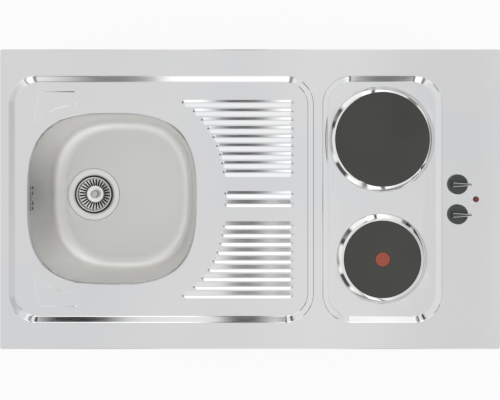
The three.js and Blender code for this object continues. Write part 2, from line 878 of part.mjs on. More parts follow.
function roundKnob() {
  const skirtTop = knobBottom + knobSkirt;
  const body = turned([
    [0, knobBottom],
    [knobRadius, knobBottom],
    [knobRadius, skirtTop - 2.4],
    [knobRadius - 1.2, skirtTop],
    [knobRadius - 6, skirtTop + 2.6],
    [0, skirtTop + 3.6],
  ], mediumSides);
  const hollow = turned([
    [shaftRadius + 3, knobBottom - 1],
    [knobRadius - 2, knobBottom - 1],
    [knobRadius - 2, skirtTop - 3],
    [shaftRadius + 3, skirtTop - 1],
  ], smallSides);
  const half = gripWidth / 2;
  const back = -knobRadius + 1.2;
  const grip = (z, inset) => ({
    z,
    outline: [
      ...arcPoints(back + half, 0, half - inset, Math.PI / 2, Math.PI * 1.5, 4),
      new THREE.Vector2(knobRadius - 3 - inset, -half + inset),
      new THREE.Vector2(gripNose - inset, -1.6 + inset * 0.4),
      new THREE.Vector2(gripNose - inset, 1.6 - inset * 0.4),
      new THREE.Vector2(knobRadius - 3 - inset, half - inset),
    ],
  });
  const handle = loft([
    grip(skirtTop - 1, 0),
    grip(knobTop - 2, 0.9),
    grip(knobTop - 0.6, 1.5),
    grip(knobTop, 2.7),
  ]);
  const bore = drum(shaftRadius + runningGap, knobBottom - 1, knobTop - 6);
  return subtract(add(body, handle), hollow, bore);
}

function switchShaft() {
  const top = knobTop - 7;
  const flat = block(shaftRadius - 0.8, shaftRadius + 1, -4, 4, knobBottom + 2, top + 1);
  return subtract(drum(shaftRadius, shaftBottom, top), flat);
}

function switchBody() {
  const half = switchSide / 2;
  const corner = 5;
  const outline = roundedRectangle(-half, half, -half, half, corner, 2);
  const housing = add(
    plate(outline, switchBottom, switchTop),
    drum(9, switchTop - 1, bracketTop + 1.5),
  );
  const tabs = [-12, -4, 4, 12].map((y) => block(-half - 5, -half + 1, y - 1.2, y + 1.2, switchBottom + 6,
    switchBottom + 6.8));
  const bore = drum(shaftRadius + runningGap, shaftBottom - seatGap, bracketTop + 3);
  return subtract(add(housing, ...tabs), bore);
}

// a hat-section strip under the deck that both switches hang from
function switchBracket() {
  const web = knobSpacing / 2 + switchSide / 2 + 6;
  const foot = web + 14;
  const lower = bracketTop - bracketGauge;
  const feet = deckUnderside - seatGap;
  const half = switchSide / 2 + 1;
  const section = [
    [-foot, feet], [-web, feet], [-web + 3, bracketTop], [web - 3, bracketTop], [web, feet], [foot, feet],
    [foot, feet - bracketGauge], [web + 1, feet - bracketGauge], [web - 2, lower], [-web + 2, lower],
    [-web - 1, feet - bracketGauge], [-foot, feet - bracketGauge],
  ];
  const shape = new THREE.Shape(section.map(([u, v]) => new THREE.Vector2(u, v)));
  const geometry = new THREE.ExtrudeGeometry(shape, { depth: half * 2, bevelEnabled: false });
  geometry.rotateX(Math.PI / 2);
  geometry.rotateZ(Math.PI / 2);
  geometry.translate(controlX - half, 0, 0);
  const holes = knobPlaces.map((y) => drum(9.5, lower - 1, bracketTop + 1, controlX, y));
  return subtract(solid(geometry), ...holes);
}

function control(name, y) {
  const group = new THREE.Group();
  group.position.set(controlX, y, 0);
  group.add(
    mesh(`knob_${name}`, roundKnob(), knobPlastic),
    mesh(`switch_shaft_${name}`, switchShaft(), brightSteel),
    mesh(`switch_body_${name}`, switchBody(), switchPlastic),
  );
  return group;
}

function lampLens() {
  const seat = deck + seatGap;
  const neck = lampHoleRadius - seatGap;
  return turned([
    [0, deckUnderside - 3],
    [neck, deckUnderside - 3],
    [neck, seat],
    [lampRadius, seat],
    [lampRadius, seat + 1],
    [lampRadius * 0.84, seat + 2.6],
    [lampRadius * 0.45, seat + 3.5],
    [0, seat + 3.8],
  ], smallSides, lampX, 0);
}

function lampBody() {
  const top = deckUnderside - seatGap;
  const floorZ = deckUnderside - 3 - seatGap;
  return turned([
    [0, top - lampBarrel],
    [lampRadius * 0.7, top - lampBarrel],
    [lampRadius * 0.7, floorZ - 3],
    [lampRadius, floorZ - 1.5],
    [lampRadius, top],
    [lampHoleRadius, top],
    [lampHoleRadius, floorZ],
    [0, floorZ],
  ], smallSides, lampX, 0);
}

// ---------------------------------------------------------------- supply and leads

const leadRest = trayFloor + 9;

function lathedAlongY(profile, sides, x, z) {
  const closed = [...profile, profile[0]];
  const geometry = new THREE.LatheGeometry(closed.map(([r, v]) => new THREE.Vector2(r, v)), sides);
  geometry.translate(x, 0, z);
  return solid(geometry);
}

function cableGland() {
  const wall = crossBattenEnd + seatGap;
  const inside = crossBattenEnd - trayGauge - 11;
  return lathedAlongY([
    [glandBore, inside],
    [glandThread, inside],
    [glandThread, wall],
    [glandCap, wall],
    [glandCap, wall + glandLength - 6],
    [glandCap - 4, wall + glandLength],
    [glandBore, wall + glandLength],
  ], smallSides, glandX, glandZ);
}

function glandNut() {
  const outer = crossBattenEnd - trayGauge - seatGap;
  return lathedAlongY([
    [glandThread + runningGap, outer - 5],
    [glandCap + 1.5, outer - 5],
    [glandCap + 1.5, outer],
    [glandThread + runningGap, outer],
  ], smallSides, glandX, glandZ);
}

function mainsTerminal() {
  const y1 = crossBattenEnd - trayGauge - mainsBlock.gap;
  const y0 = y1 - mainsBlock.y;
  const z0 = trayFloor + seatGap;
  const z1 = z0 + mainsBlock.z;
  const body = block(glandX - mainsBlock.x / 2, glandX + mainsBlock.x / 2, y0, y1, z0, z1);
  const screws = [-13, 0, 13].map((x) => drum(3, z1 - 6, z1 + 1, glandX + x, (y0 + y1) / 2, 8));
  return subtract(body, ...screws);
}

function lead(points, radius = leadRadius) {
  const curve = new THREE.CatmullRomCurve3(points.map(([x, y, z]) => new THREE.Vector3(x, y, z)), false,
    'centripetal');
  const section = new THREE.Shape(arcPoints(0, 0, radius, 0, Math.PI * 5 / 3, 5));
  return solid(new THREE.ExtrudeGeometry(section, { steps: 11, extrudePath: curve, bevelEnabled: false }));
}

function plateLead(side) {
  const y = (side > 0 ? rearPlateY : frontPlateY) - side * terminalOffset;
  const knobY = side * knobSpacing / 2;
  const switchX = controlX - 6;
  return lead([
    [hobX, y, terminalBottom - seatGap],
    [hobX, y, terminalBottom - leadEnd],
    [hobX + 12, y - side * 3, leadRest],
    [hobX + leadSweep.x, y - side * leadSweep.y, leadRest],
    [switchX - 6, knobY + side * 12, leadRest],
    [switchX, knobY, switchBottom - leadEnd],
    [switchX, knobY, switchBottom - seatGap],
  ]);
}

function supplyLead() {
  const y = crossBattenEnd - trayGauge - mainsBlock.gap - mainsBlock.y;
  const x = glandX + 8;
  return lead([
    [x, y - seatGap, leadRest],
    [x, y - leadEnd, leadRest],
    [x + 2, y / 2 + knobSpacing / 2, leadRest],
    [x, knobSpacing / 2 + 16, leadRest],
    [x, knobSpacing / 2, switchBottom - leadEnd],
    [x, knobSpacing / 2, switchBottom - seatGap],
  ]);
}

function lampLead() {
  const top = deckUnderside - seatGap - lampBarrel;
  const switchX = controlX + 8;
  return lead([
    [lampX, 0, top - seatGap],
    [lampX, 0, top - leadEnd],
    [lampX - 4, -knobSpacing / 4, leadRest + 6],
    [switchX + 3, -knobSpacing / 2 - 2, leadRest + 6],
    [switchX, -knobSpacing / 2, switchBottom - leadEnd],
    [switchX, -knobSpacing / 2, switchBottom - seatGap],
  ], lampLeadRadius);
}

// ---------------------------------------------------------------- strainer waste

const cupFloor = wasteSeat - wasteCupDepth;

// pressed cup: a rolled flange in the bowl's seat, a wall and a ported floor
function wasteFlange() {
  const gauge = pressedGauge;
  const under = wasteSeat + seatGap;
  const cup = turned([
    [wasteFlangeRadius, under],
    [wasteFlangeRadius, under + 0.5],
    [wasteFlangeRadius - 1.5, under + 1.6],
    [wasteCupRadius + 2, under + 1.1],
    [wasteCupRadius - gauge, under - 2],
    [wasteCupRadius - gauge - 0.8, cupFloor],
    [wasteScrewRadius + runningGap, cupFloor],
    [wasteScrewRadius + runningGap, cupFloor - gauge],
    [wasteCupRadius - 0.8, cupFloor - gauge],
    [wasteCupRadius, under],
  ], mediumSides, wasteX, 0);
  const ports = Array.from({ length: 6 }, (_, i) => {
    const angle = (i + 0.5) * Math.PI / 3;
    return drum(portRadius, cupFloor - 4, cupFloor + 1, wasteX + 17.5 * Math.cos(angle),
      17.5 * Math.sin(angle), 8);
  });
  return subtract(cup, ...ports);
}

function wasteScrew() {
  const seat = cupFloor + seatGap;
  return turned([
    [0, seat - 24],
    [wasteScrewRadius, seat - 23],
    [wasteScrewRadius, seat],
    [6, seat],
    [6, seat + 1.2],
    [4.5, seat + 2.2],
    [0, seat + 2.4],
  ], 12, wasteX, 0);
}

const basketRim = wasteSeat + seatGap + 0.6;
const basketFloor = basketRim - basketDepth;
const stemBottom = basketFloor - pressedGauge - 5;

function basketSlope(radius) {
  const outer = basketRadius - 5.5;
  const share = (radius - basketFloorRadius) / (outer - basketFloorRadius);
  return basketFloor + share * (basketDepth - 7);
}

function strainerBasket() {
  const gauge = pressedGauge;
  const outer = basketRadius - 5.5;
  const dish = turned([
    [basketRadius, basketRim - 1],
    [basketRadius - 1, basketRim],
    [outer, basketSlope(outer)],
    [basketFloorRadius, basketFloor],
    [strainerStemRadius + seatGap, basketFloor],
    [strainerStemRadius + seatGap, basketFloor - gauge],
    [basketFloorRadius + 0.4, basketFloor - gauge],
    [outer + 0.9, basketSlope(outer) - gauge * 0.8],
  ], slotCount, wasteX, 0);
  const slots = Array.from({ length: slotCount }, (_, i) => {
    const inner = basketFloorRadius + 1;
    const length = outer - 1 - inner;
    const geometry = new THREE.BoxGeometry(length, slotWidth, basketDepth);
    geometry.translate(inner + length / 2, 0, basketFloor + basketDepth / 2 - 4);
    geometry.rotateZ(2 * Math.PI * (i + 0.5) / slotCount);
    geometry.translate(wasteX, 0, 0);
    return solid(geometry);
  });
  return subtract(dish, ...slots);
}

function strainerKnob() {
  const seat = basketFloor + seatGap;
  const top = basketFloor + strainerKnobHeight;
  const wide = strainerKnobRadius;
  return turned([
    [0, stemBottom],
    [strainerStemRadius, stemBottom],
    [strainerStemRadius, seat],
    [wide * 0.55, seat],
    [wide * 0.5, top - 9],
    [wide * 0.95, top - 7],
    [wide, top - 2.5],
    [wide * 0.78, top - 0.5],
    [0, top],
  ], smallSides, wasteX, 0);
}

// a soft washer that closes the ports when the basket is down
function strainerSeal() {
  const top = basketFloor - pressedGauge - seatGap;
  const bottom = cupFloor + seatGap;
  return turned([
    [strainerStemRadius + seatGap, top],
    [basketFloorRadius - 1, top],
    [basketFloorRadius + 6, bottom],
    [basketFloorRadius + 2, bottom],
    [basketFloorRadius - 3, top - 2.6],
    [strainerStemRadius + seatGap, top - 2.6],
  ], 20, wasteX, 0);
}

const gasketTop = wasteSeatUnderside - seatGap;
const gasketBottom = gasketTop - 2.8;
const potTop = gasketBottom - seatGap;
const potRadius = wasteCupRadius + 4.5;
const potInner = wasteCupRadius + 1.8;
const potBottom = cupFloor - 10;
const outletBottom = potBottom - outletLength;
const portZ = potTop - 17;
const portEnd = wasteX - potRadius - 5;

function wasteGasket() {
  const inner = wasteCupRadius + 2;
  const outer = potRadius + 4;
  return turned([[inner, gasketBottom], [outer, gasketBottom], [outer, gasketTop], [inner, gasketTop]],
    mediumSides, wasteX, 0);
}

// moulded pot under the bowl, with a threaded outlet, a screw boss and an overflow spigot
function wasteBody() {
  const pot = turned([
    [outletBore, outletBottom],
    [outletRadius, outletBottom],
    [outletRadius, potBottom - 3],
    [outletRadius + 6, potBottom],
    [potRadius, potBottom + 3],
    [potRadius, potTop - 3.5],
    [potRadius + 4, potTop - 3.5],
    [potRadius + 4, potTop],
    [potInner, potTop],
    [potInner, potBottom + 6],
    [outletBore, potBottom + 1],
  ], mediumSides, wasteX, 0);
  const bossTop = cupFloor - pressedGauge - 3;
  const bossBottom = bossTop - 22;
  const arms = [0, 1, 2].map((i) => {
    const geometry = new THREE.BoxGeometry(outletBore + 1, 3, 14);
    geometry.translate((outletBore + 1) / 2, 0, 0);
    geometry.rotateZ(i * Math.PI * 2 / 3);
    geometry.translate(wasteX, 0, bossTop - 13);
    return solid(geometry);
  });
  const boss = drum(bossRadius, bossBottom, bossTop, wasteX, 0);
  const spigot = rodX(spigotRadius, portEnd - spigotLength, wasteX - potInner - 1, 0, portZ, 16);
  const collar = rodX(hoseRadius, portEnd, wasteX - potInner - 1, 0, portZ, 16);
  const bore = rodX(spigotRadius - 1.6, portEnd - spigotLength - 1, wasteX - potInner + 2, 0, portZ, 12);
  const screwHole = drum(wasteScrewRadius + runningGap, bossTop - 21, bossTop + 1, wasteX, 0, 12);
  return subtract(add(pot, ...arms, boss, spigot, collar), bore, screwHole);
}

// ---------------------------------------------------------------- overflow

const overflowPlateY = 2 * overflowPitch + overflowSlot / 2 + 3.5;
const overflowPlateZ = overflowRowGap / 2 + overflowSlot / 2 + 3.5;
const boxOuterX = overflowWallX - bowlGauge - gasketThickness - 2 * seatGap - overflowBoxDepth;

function overflowBlank(x0, x1, shrink) {
  const y = overflowPlateY - shrink;
  const z = overflowPlateZ - shrink;
  const shape = new THREE.Shape(roundedRectangle(-y, y, overflowZ - z, overflowZ + z, 6, 2));
  const geometry = new THREE.ExtrudeGeometry(shape, { depth: x1 - x0, bevelEnabled: false });
  geometry.rotateX(Math.PI / 2);
  geometry.rotateZ(Math.PI / 2);
  geometry.translate(x0, 0, 0);
  return solid(geometry);
}

function overflowGasket() {
  const outerSkin = bowlForm(bowlGauge + seatGap, bowlTop + 20);
  const farSkin = bowlForm(bowlGauge + seatGap + gasketThickness, bowlTop + 20);
  const blank = overflowBlank(overflowWallX - 12, overflowWallX + 12, 0);
  const window = overflowBlank(overflowWallX - 13, overflowWallX + 13, 3);
  return subtract(blank.intersect(farSkin), outerSkin, window);
}

// a shallow collector clamped behind the slots, with a spigot for the hose
const hoseTop = overflowZ - overflowPlateZ - 4;
const hoseX = boxOuterX + 8.5;

function overflowBox() {
  const skin = bowlForm(bowlGauge + 2 * seatGap + gasketThickness, bowlTop + 20);
  const shell = subtract(overflowBlank(boxOuterX, overflowWallX + 12, 0), skin);
  const hollow = overflowBlank(boxOuterX + 2, overflowWallX + 13, 2.5);
  const post = subtract(rodX(4.5, boxOuterX + 1, overflowWallX + 12, 0, overflowZ, 12), skin);
  const boxBottom = overflowZ - overflowPlateZ;
  const screwBore = overflowScrewRadius + runningGap;
  const neck = drum(hoseRadius, hoseTop, boxBottom + 1, hoseX, 0, 16);
  const spigot = drum(spigotRadius, hoseTop - spigotLength, hoseTop + 1, hoseX, 0, 16);
  const bore = drum(spigotRadius - 1.6, hoseTop - spigotLength - 1, boxBottom + 4, hoseX, 0, 12);
  const screwHole = rodX(screwBore, boxOuterX + 4, overflowWallX + 13, 0, overflowZ, 12);
  return subtract(add(subtract(shell, hollow), post, neck, spigot), bore, screwHole);
}

function overflowScrew() {
  const seat = overflowWallX + 1.2;
  const profile = [
    [0, seat + 2.4],
    [3, seat + 2.2],
    [4.6, seat + 1],
    [4.6, seat],
    [overflowScrewRadius, seat],
    [overflowScrewRadius, boxOuterX + 5],
    [0, boxOuterX + 5],
  ];
  const geometry = new THREE.LatheGeometry(profile.map(([r, v]) => new THREE.Vector2(r, v)), 12);
  geometry.rotateZ(-Math.PI / 2);
  geometry.translate(0, 0, overflowZ);
  return solid(geometry);
}

// corrugated hose: rings of two radii along its route outside, a smooth bore inside
function overflowHose() {
  const sides = 8;
  const top = hoseTop - seatGap;
  const end = portEnd - seatGap;
  const bend = hoseX + (end - hoseX) * 0.42;
  const curve = new THREE.CurvePath();
  const down = new THREE.Vector3(hoseX, 0, portZ + hoseBendHeight);
  const across = new THREE.Vector3(Math.max(bend, end - 22), 0, portZ);
  curve.add(new THREE.LineCurve3(new THREE.Vector3(hoseX, 0, top), down));
  curve.add(new THREE.CubicBezierCurve3(down, new THREE.Vector3(hoseX, 0, portZ + 14),
    new THREE.Vector3(hoseX + 6, 0, portZ), across));
  curve.add(new THREE.LineCurve3(across, new THREE.Vector3(end, 0, portZ)));
  const length = curve.getLength();
  const cuff = spigotLength + 2;
  const stops = [0, cuff];
  const radii = [hoseRadius, hoseRadius];
  const ribs = Math.floor((length - 2 * cuff) / hoseRibPitch);
  const pitch = (length - 2 * cuff) / ribs;
  for (let i = 0; i < ribs; i += 1) {
    stops.push(cuff + pitch * (i + 0.35), cuff + pitch * (i + 0.8));
    radii.push(hoseRadius - 1.4, hoseRadius);
  }
  stops.push(length - cuff + 0.4, length);
  radii.push(hoseRadius, hoseRadius);
  const sideways = new THREE.Vector3(0, 1, 0);
  const ring = (distance, radius) => {
    const share = Math.min(distance / length, 1);
    const centre = curve.getPointAt(share);
    const tangent = curve.getTangentAt(share);
    const normal = new THREE.Vector3().crossVectors(sideways, tangent);
    return Array.from({ length: sides }, (_, i) => {
      const angle = 2 * Math.PI * i / sides;
      return centre.clone().addScaledVector(normal, radius * Math.cos(angle))
        .addScaledVector(sideways, radius * Math.sin(angle));
    });
  };
  const bores = Array.from({ length: 9 }, (_, i) => length * i / 8);
  const rings = [
    ...stops.map((stop, i) => ring(stop, radii[i])),
    ...bores.reverse().map((stop) => ring(stop, hoseBore)),
  ];
  const points = rings.flat().flatMap((p) => [p.x, p.y, p.z]);
  const faces = [];
  rings.forEach((_, level) => {
    const next = (level + 1) % rings.length;
    for (let i = 0; i < sides; i += 1) {
      const j = (i + 1) % sides;
      const [a, b] = [level * sides + i, level * sides + j];
      const [c, d] = [next * sides + i, next * sides + j];
      faces.push(a, b, d, a, d, c);
    }
  });
  const geometry = new THREE.BufferGeometry();
  geometry.setAttribute('position', new THREE.Float32BufferAttribute(points, 3));
  geometry.setIndex(faces);
  return solid(geometry);
}

// ---------------------------------------------------------------- assembly

const group = new THREE.Group();
group.add(mesh('worktop_sheet', worktopSheet(), satinSteel));
group.add(mesh('sink_bowl', sinkBowl(), bowlSteel));
group.add(...battens());
hotplates.forEach((place) => group.add(hotplate(place)));

const rapid = mesh('rapid_mark', rapidMark(), redEnamel);
rapid.position.set(hobX, frontPlateY, 0);
group.add(rapid);

group.add(...trayParts());
group.add(control('rear', knobPlaces[0]), control('front', knobPlaces[1]));
group.add(mesh('switch_bracket', switchBracket(), zincSteel));
group.add(mesh('lamp_lens', lampLens(), lampRed));
group.add(mesh('lamp_body', lampBody(), blackPlastic));
group.add(mesh('cable_gland', cableGland(), blackPlastic));
group.add(mesh('gland_nut', glandNut(), blackPlastic));
group.add(mesh('mains_terminal', mainsTerminal(), switchPlastic));
group.add(mesh('plate_lead_rear', plateLead(1), leadSleeve));
group.add(mesh('plate_lead_front', plateLead(-1), leadSleeve));
group.add(mesh('supply_lead', supplyLead(), leadSleeve));
group.add(mesh('lamp_lead', lampLead(), leadSleeve));
group.add(mesh('waste_flange', wasteFlange(), wasteSteel));
group.add(mesh('waste_screw', wasteScrew(), brightSteel));
group.add(mesh('waste_gasket', wasteGasket(), rubber));
group.add(mesh('waste_body', wasteBody(), wastePlastic));
group.add(mesh('strainer_basket', strainerBasket(), wasteSteel));
group.add(mesh('strainer_knob', strainerKnob(), brightSteel));
group.add(mesh('strainer_seal', strainerSeal(), rubber));
group.add(mesh('overflow_gasket', overflowGasket(), rubber));
group.add(mesh('overflow_box', overflowBox(), wastePlastic));
group.add(mesh('overflow_screw', overflowScrew(), brightSteel));
group.add(mesh('overflow_hose', overflowHose(), hosePlastic));

export default group;
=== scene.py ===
import bpy
import bmesh
import math
from mathutils import Matrix, Vector


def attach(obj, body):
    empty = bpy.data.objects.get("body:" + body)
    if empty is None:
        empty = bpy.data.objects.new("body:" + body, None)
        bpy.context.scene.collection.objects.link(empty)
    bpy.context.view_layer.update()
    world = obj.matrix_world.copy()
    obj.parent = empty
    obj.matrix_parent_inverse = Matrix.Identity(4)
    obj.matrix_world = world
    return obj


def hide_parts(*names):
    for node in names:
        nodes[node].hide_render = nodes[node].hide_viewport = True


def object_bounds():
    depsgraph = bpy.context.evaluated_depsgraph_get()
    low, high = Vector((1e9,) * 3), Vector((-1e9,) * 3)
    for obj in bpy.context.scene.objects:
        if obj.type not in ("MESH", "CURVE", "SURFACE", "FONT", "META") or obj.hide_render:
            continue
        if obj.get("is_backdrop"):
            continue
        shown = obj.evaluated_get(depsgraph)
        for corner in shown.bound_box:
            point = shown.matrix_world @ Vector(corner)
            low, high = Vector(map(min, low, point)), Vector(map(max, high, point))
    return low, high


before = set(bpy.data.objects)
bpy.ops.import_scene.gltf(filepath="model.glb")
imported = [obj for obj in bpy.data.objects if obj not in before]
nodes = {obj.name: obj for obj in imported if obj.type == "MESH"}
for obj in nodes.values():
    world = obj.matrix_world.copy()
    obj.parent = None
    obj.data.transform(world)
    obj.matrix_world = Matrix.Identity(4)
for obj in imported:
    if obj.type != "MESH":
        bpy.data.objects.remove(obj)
cadLow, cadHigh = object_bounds()
mm = 0.001
print("frame loaded:", len(nodes), "nodes")


# ---- modelling helpers; lengths inside them are millimetres

def objectOf(name, bm):
    mesh = bpy.data.meshes.new(name)
    bm.to_mesh(mesh)
    bm.free()
    made = bpy.data.objects.new(name, mesh)
    bpy.context.scene.collection.objects.link(made)
    return made


def toMetres(bm):
    bmesh.ops.scale(bm, vec=(mm, mm, mm), verts=bm.verts)


def finishPiece(name, bm, look, node=None, body="worktop", turnOut=True):
    if turnOut:
        bmesh.ops.recalc_face_normals(bm, faces=bm.faces)
    toMetres(bm)
    piece = objectOf(name, bm)
    piece.data.materials.append(look)
    for face in piece.data.polygons:
        face.use_smooth = True
    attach(piece, body)
    if node:
        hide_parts(node)
    return piece


def softenEdges(piece, width, segments):
    bevel = piece.modifiers.new("softened edges", "BEVEL")
    bevel.width = width * mm
    bevel.segments = segments
    bevel.limit_method = "ANGLE"
    bevel.angle_limit = math.radians(30)
    bevel.harden_normals = True


def giveGauge(piece, thickness):
    solid = piece.modifiers.new("gauge", "SOLIDIFY")
    solid.thickness = thickness * mm
    solid.offset = -1


def flatFacesLead(piece):
    normals = piece.modifiers.new("flat faces lead", "WEIGHTED_NORMAL")
    normals.mode = "FACE_AREA"
    normals.weight = 50


# rounds the inner corners of a line of (across, up) pairs
def softProfile(points, radius, segments=3):
    usable = 0.46  # of an edge, at each of its ends
    soft = [tuple(points[0])]
    for before, corner, after in zip(points, points[1:], points[2:]):
        b, c, a = Vector(before), Vector(corner), Vector(after)
        reach = min(radius, (b - c).length * usable, (a - c).length * usable)
        start = c + (b - c).normalized() * reach
        end = c + (a - c).normalized() * reach
        for i in range(segments + 1):
            t = i / segments
            soft.append(tuple((1 - t) ** 2 * start + 2 * t * (1 - t) * c + t ** 2 * end))
    return soft + [tuple(points[-1])]


# a line of (radius, height) pairs turned about an upright axis
def turned(profile, x, y, steps):
    bm = bmesh.new()
    line = [bm.verts.new((r, 0, z)) for r, z in profile]
    edges = [bm.edges.new(pair) for pair in zip(line, line[1:])]
    if profile[0][0] > 0 or profile[-1][0] > 0:
        edges.append(bm.edges.new((line[-1], line[0])))
    bmesh.ops.spin(bm, geom=line + edges, cent=(0, 0, 0), axis=(0, 0, 1), angle=math.tau,
                   steps=steps, use_merge=True)
    bmesh.ops.remove_doubles(bm, verts=bm.verts, dist=1e-4)
    bmesh.ops.translate(bm, verts=bm.verts, vec=(x, y, 0))
    return bm


def block(bm, x0, x1, y0, y1, z0, z1):
    made = bmesh.ops.create_cube(bm, size=1)["verts"]
    bmesh.ops.scale(bm, vec=(x1 - x0, y1 - y0, z1 - z0), verts=made)
    bmesh.ops.translate(bm, vec=((x0 + x1) / 2, (y0 + y1) / 2, (z0 + z1) / 2), verts=made)
    return made


# a flat upward face with rounded corners
def roundedFace(bm, x0, x1, y0, y1, radius, z, segments):
    before = set(bm.faces)
    corners = bmesh.ops.create_grid(bm, x_segments=1, y_segments=1, size=0.5)["verts"]
    bmesh.ops.scale(bm, vec=(x1 - x0, y1 - y0, 1), verts=corners)
    bmesh.ops.translate(bm, vec=((x0 + x1) / 2, (y0 + y1) / 2, z), verts=corners)
    bmesh.ops.bevel(bm, geom=corners, offset=radius, affect="VERTICES", segments=segments,
                    profile=0.5, material=-1)
    return next(f for f in bm.faces if f not in before)


# presses a face in or out along a line of (inset, height) pairs
def press(bm, face, profile):
    for (inset, height), (nextInset, nextHeight) in zip(profile, profile[1:]):
        bmesh.ops.inset_region(bm, faces=[face], thickness=nextInset - inset,
                               depth=nextHeight - height, use_boundary=True,
                               use_even_offset=True)


# new edges with one face that aren't the foot: the outer ring of a pressed form
def openRing(bm, before, foot=()):
    return [e for e in bm.edges
            if e not in before and len(e.link_faces) == 1 and e not in foot]


def removeFace(bm, face):
    bmesh.ops.delete(bm, geom=[face], context="FACES_ONLY")


def fillFlat(bm, edges):
    bmesh.ops.triangle_fill(bm, use_beauty=True, use_dissolve=False, edges=edges,
                            normal=(0, 0, 1))


def edgesOf(verts):
    return list(dict.fromkeys(e for v in verts for e in v.link_edges))


# a new ring of walls from a ring of edges: its far edges and corners
def grown(bm, edges):
    made = bmesh.ops.extrude_edge_only(bm, edges=edges)["geom"]
    return ([g for g in made if isinstance(g, bmesh.types.BMEdge)],
            [g for g in made if isinstance(g, bmesh.types.BMVert)])


def makeHole(bm, x, y, radius, z, segments):
    ring = bmesh.ops.create_circle(bm, cap_ends=False, radius=radius, segments=segments)["verts"]
    bmesh.ops.translate(bm, verts=ring, vec=(x, y, z))
    return edgesOf(ring)


# cuts a closed form, still in millimetres, out of a piece
def cutWith(piece, bm):
    toMetres(bm)
    cutter = objectOf("cutter", bm)
    cut = piece.modifiers.new("cut", "BOOLEAN")
    cut.operation = "DIFFERENCE"
    cut.solver = "EXACT"
    cut.object = cutter
    bpy.context.view_layer.update()
    shown = piece.evaluated_get(bpy.context.evaluated_depsgraph_get())
    shape = bpy.data.meshes.new_from_object(shown)
    piece.modifiers.clear()
    piece.data = shape
    bpy.data.objects.remove(cutter)


# a ring carried along the points, its radius given for each; the ends are capped
def swept(points, radii, sides):
    up = Vector((0, 0, 1))
    bm = bmesh.new()
    ring = bmesh.ops.create_circle(bm, cap_ends=True, radius=1, segments=sides)["verts"]
    flat = [v.co.copy() for v in ring]
    edges = edgesOf(ring)
    turn = up.rotation_difference(points[1] - points[0])
    for number, (point, radius) in enumerate(zip(points, radii)):
        before, after = points[max(number - 1, 0)], points[min(number + 1, len(points) - 1)]
        turn = (turn @ up).rotation_difference(after - before) @ turn
        if number:
            edges, ring = grown(bm, edges)
        for vert, place in zip(ring, flat):
            vert.co = point + turn @ (place * radius)
    bmesh.ops.contextual_create(bm, geom=edges)
    return bm


def curve(a, b, c, d, t):
    return (1 - t) ** 3 * a + 3 * t * (1 - t) ** 2 * b + 3 * t * t * (1 - t) * c + t ** 3 * d


# points on a line at one spacing
def evenly(line, step):
    lengths = [0.0]
    for a, b in zip(line, line[1:]):
        lengths.append(lengths[-1] + (b - a).length)
    count = max(round(lengths[-1] / step), 2)
    points, at = [], 0
    for i in range(count + 1):
        wanted = lengths[-1] * i / count
        while at < len(line) - 2 and lengths[at + 1] < wanted:
            at += 1
        share = (wanted - lengths[at]) / (lengths[at + 1] - lengths[at])
        points.append(line[at].lerp(line[at + 1], min(share, 1)))
    return points


# points at one spacing on a smooth curve through the corners
def smoothRoute(corners, step):
    fineness = 24
    corners = [Vector(c) for c in corners]
    ends = [2 * corners[0] - corners[1], *corners, 2 * corners[-1] - corners[-2]]
    fine = []
    for p, a, b, q in zip(ends, ends[1:], ends[2:], ends[3:]):
        span = (b - a).length
        startPull, endPull = (b - p).normalized() * span / 3, (q - a).normalized() * span / 3
        fine += [curve(a, a + startPull, b - endPull, b, i / fineness) for i in range(fineness)]
    return evenly(fine + [corners[-1]], step)


# ---- shader helpers

def newLook(name):
    look = bpy.data.materials.new(name)
    look.use_nodes = True
    tree = look.node_tree
    place = tree.nodes.new("ShaderNodeTexCoord")
    return look, tree, tree.nodes["Principled BSDF"], place.outputs["Object"]


def scaled(tree, coords, scale):
    node = tree.nodes.new("ShaderNodeMapping")
    node.inputs["Scale"].default_value = scale
    tree.links.new(coords, node.inputs["Vector"])
    return node.outputs["Vector"]


def noise(tree, coords, scale, detail=2.0, rough=0.5):
    node = tree.nodes.new("ShaderNodeTexNoise")
    node.inputs["Scale"].default_value = scale
    node.inputs["Detail"].default_value = detail
    node.inputs["Roughness"].default_value = rough
    tree.links.new(coords, node.inputs["Vector"])
    return node.outputs["Fac"]


# stops are (position, grey or colour) pairs
def ramp(tree, value, stops):
    node = tree.nodes.new("ShaderNodeValToRGB")
    marks = node.color_ramp.elements
    while len(marks) < len(stops):
        marks.new(0.5)
    for mark, (position, colour) in zip(marks, stops):
        mark.position = position
        isGrey = isinstance(colour, (int, float))
        mark.color = (colour, colour, colour, 1) if isGrey else (*colour, 1)
    tree.links.new(value, node.inputs["Fac"])
    return node.outputs["Color"]


# a value's range carried to another one; a noise keeps mostly within the default range
def spread(tree, value, low, high, fromLow=0.3, fromHigh=0.7):
    node = tree.nodes.new("ShaderNodeMapRange")
    for socket, number in zip(("From Min", "From Max", "To Min", "To Max"),
                              (fromLow, fromHigh, low, high)):
        node.inputs[socket].default_value = number
    tree.links.new(value, node.inputs["Value"])
    return node.outputs["Result"]


def blended(tree, share, first, second, way="MIX"):
    node = tree.nodes.new("ShaderNodeMix")
    node.data_type = "RGBA"
    node.blend_type = way
    for socket, value in (("Factor", share), ("A", first), ("B", second)):
        if not isinstance(value, (int, float)):
            tree.links.new(value, node.inputs[socket])
        elif socket == "Factor":
            node.inputs[socket].default_value = value
        else:
            node.inputs[socket].default_value = (value, value, value, 1)
    return node.outputs["Result"]


def multiplied(tree, first, second):
    return blended(tree, 1.0, first, second, "MULTIPLY")


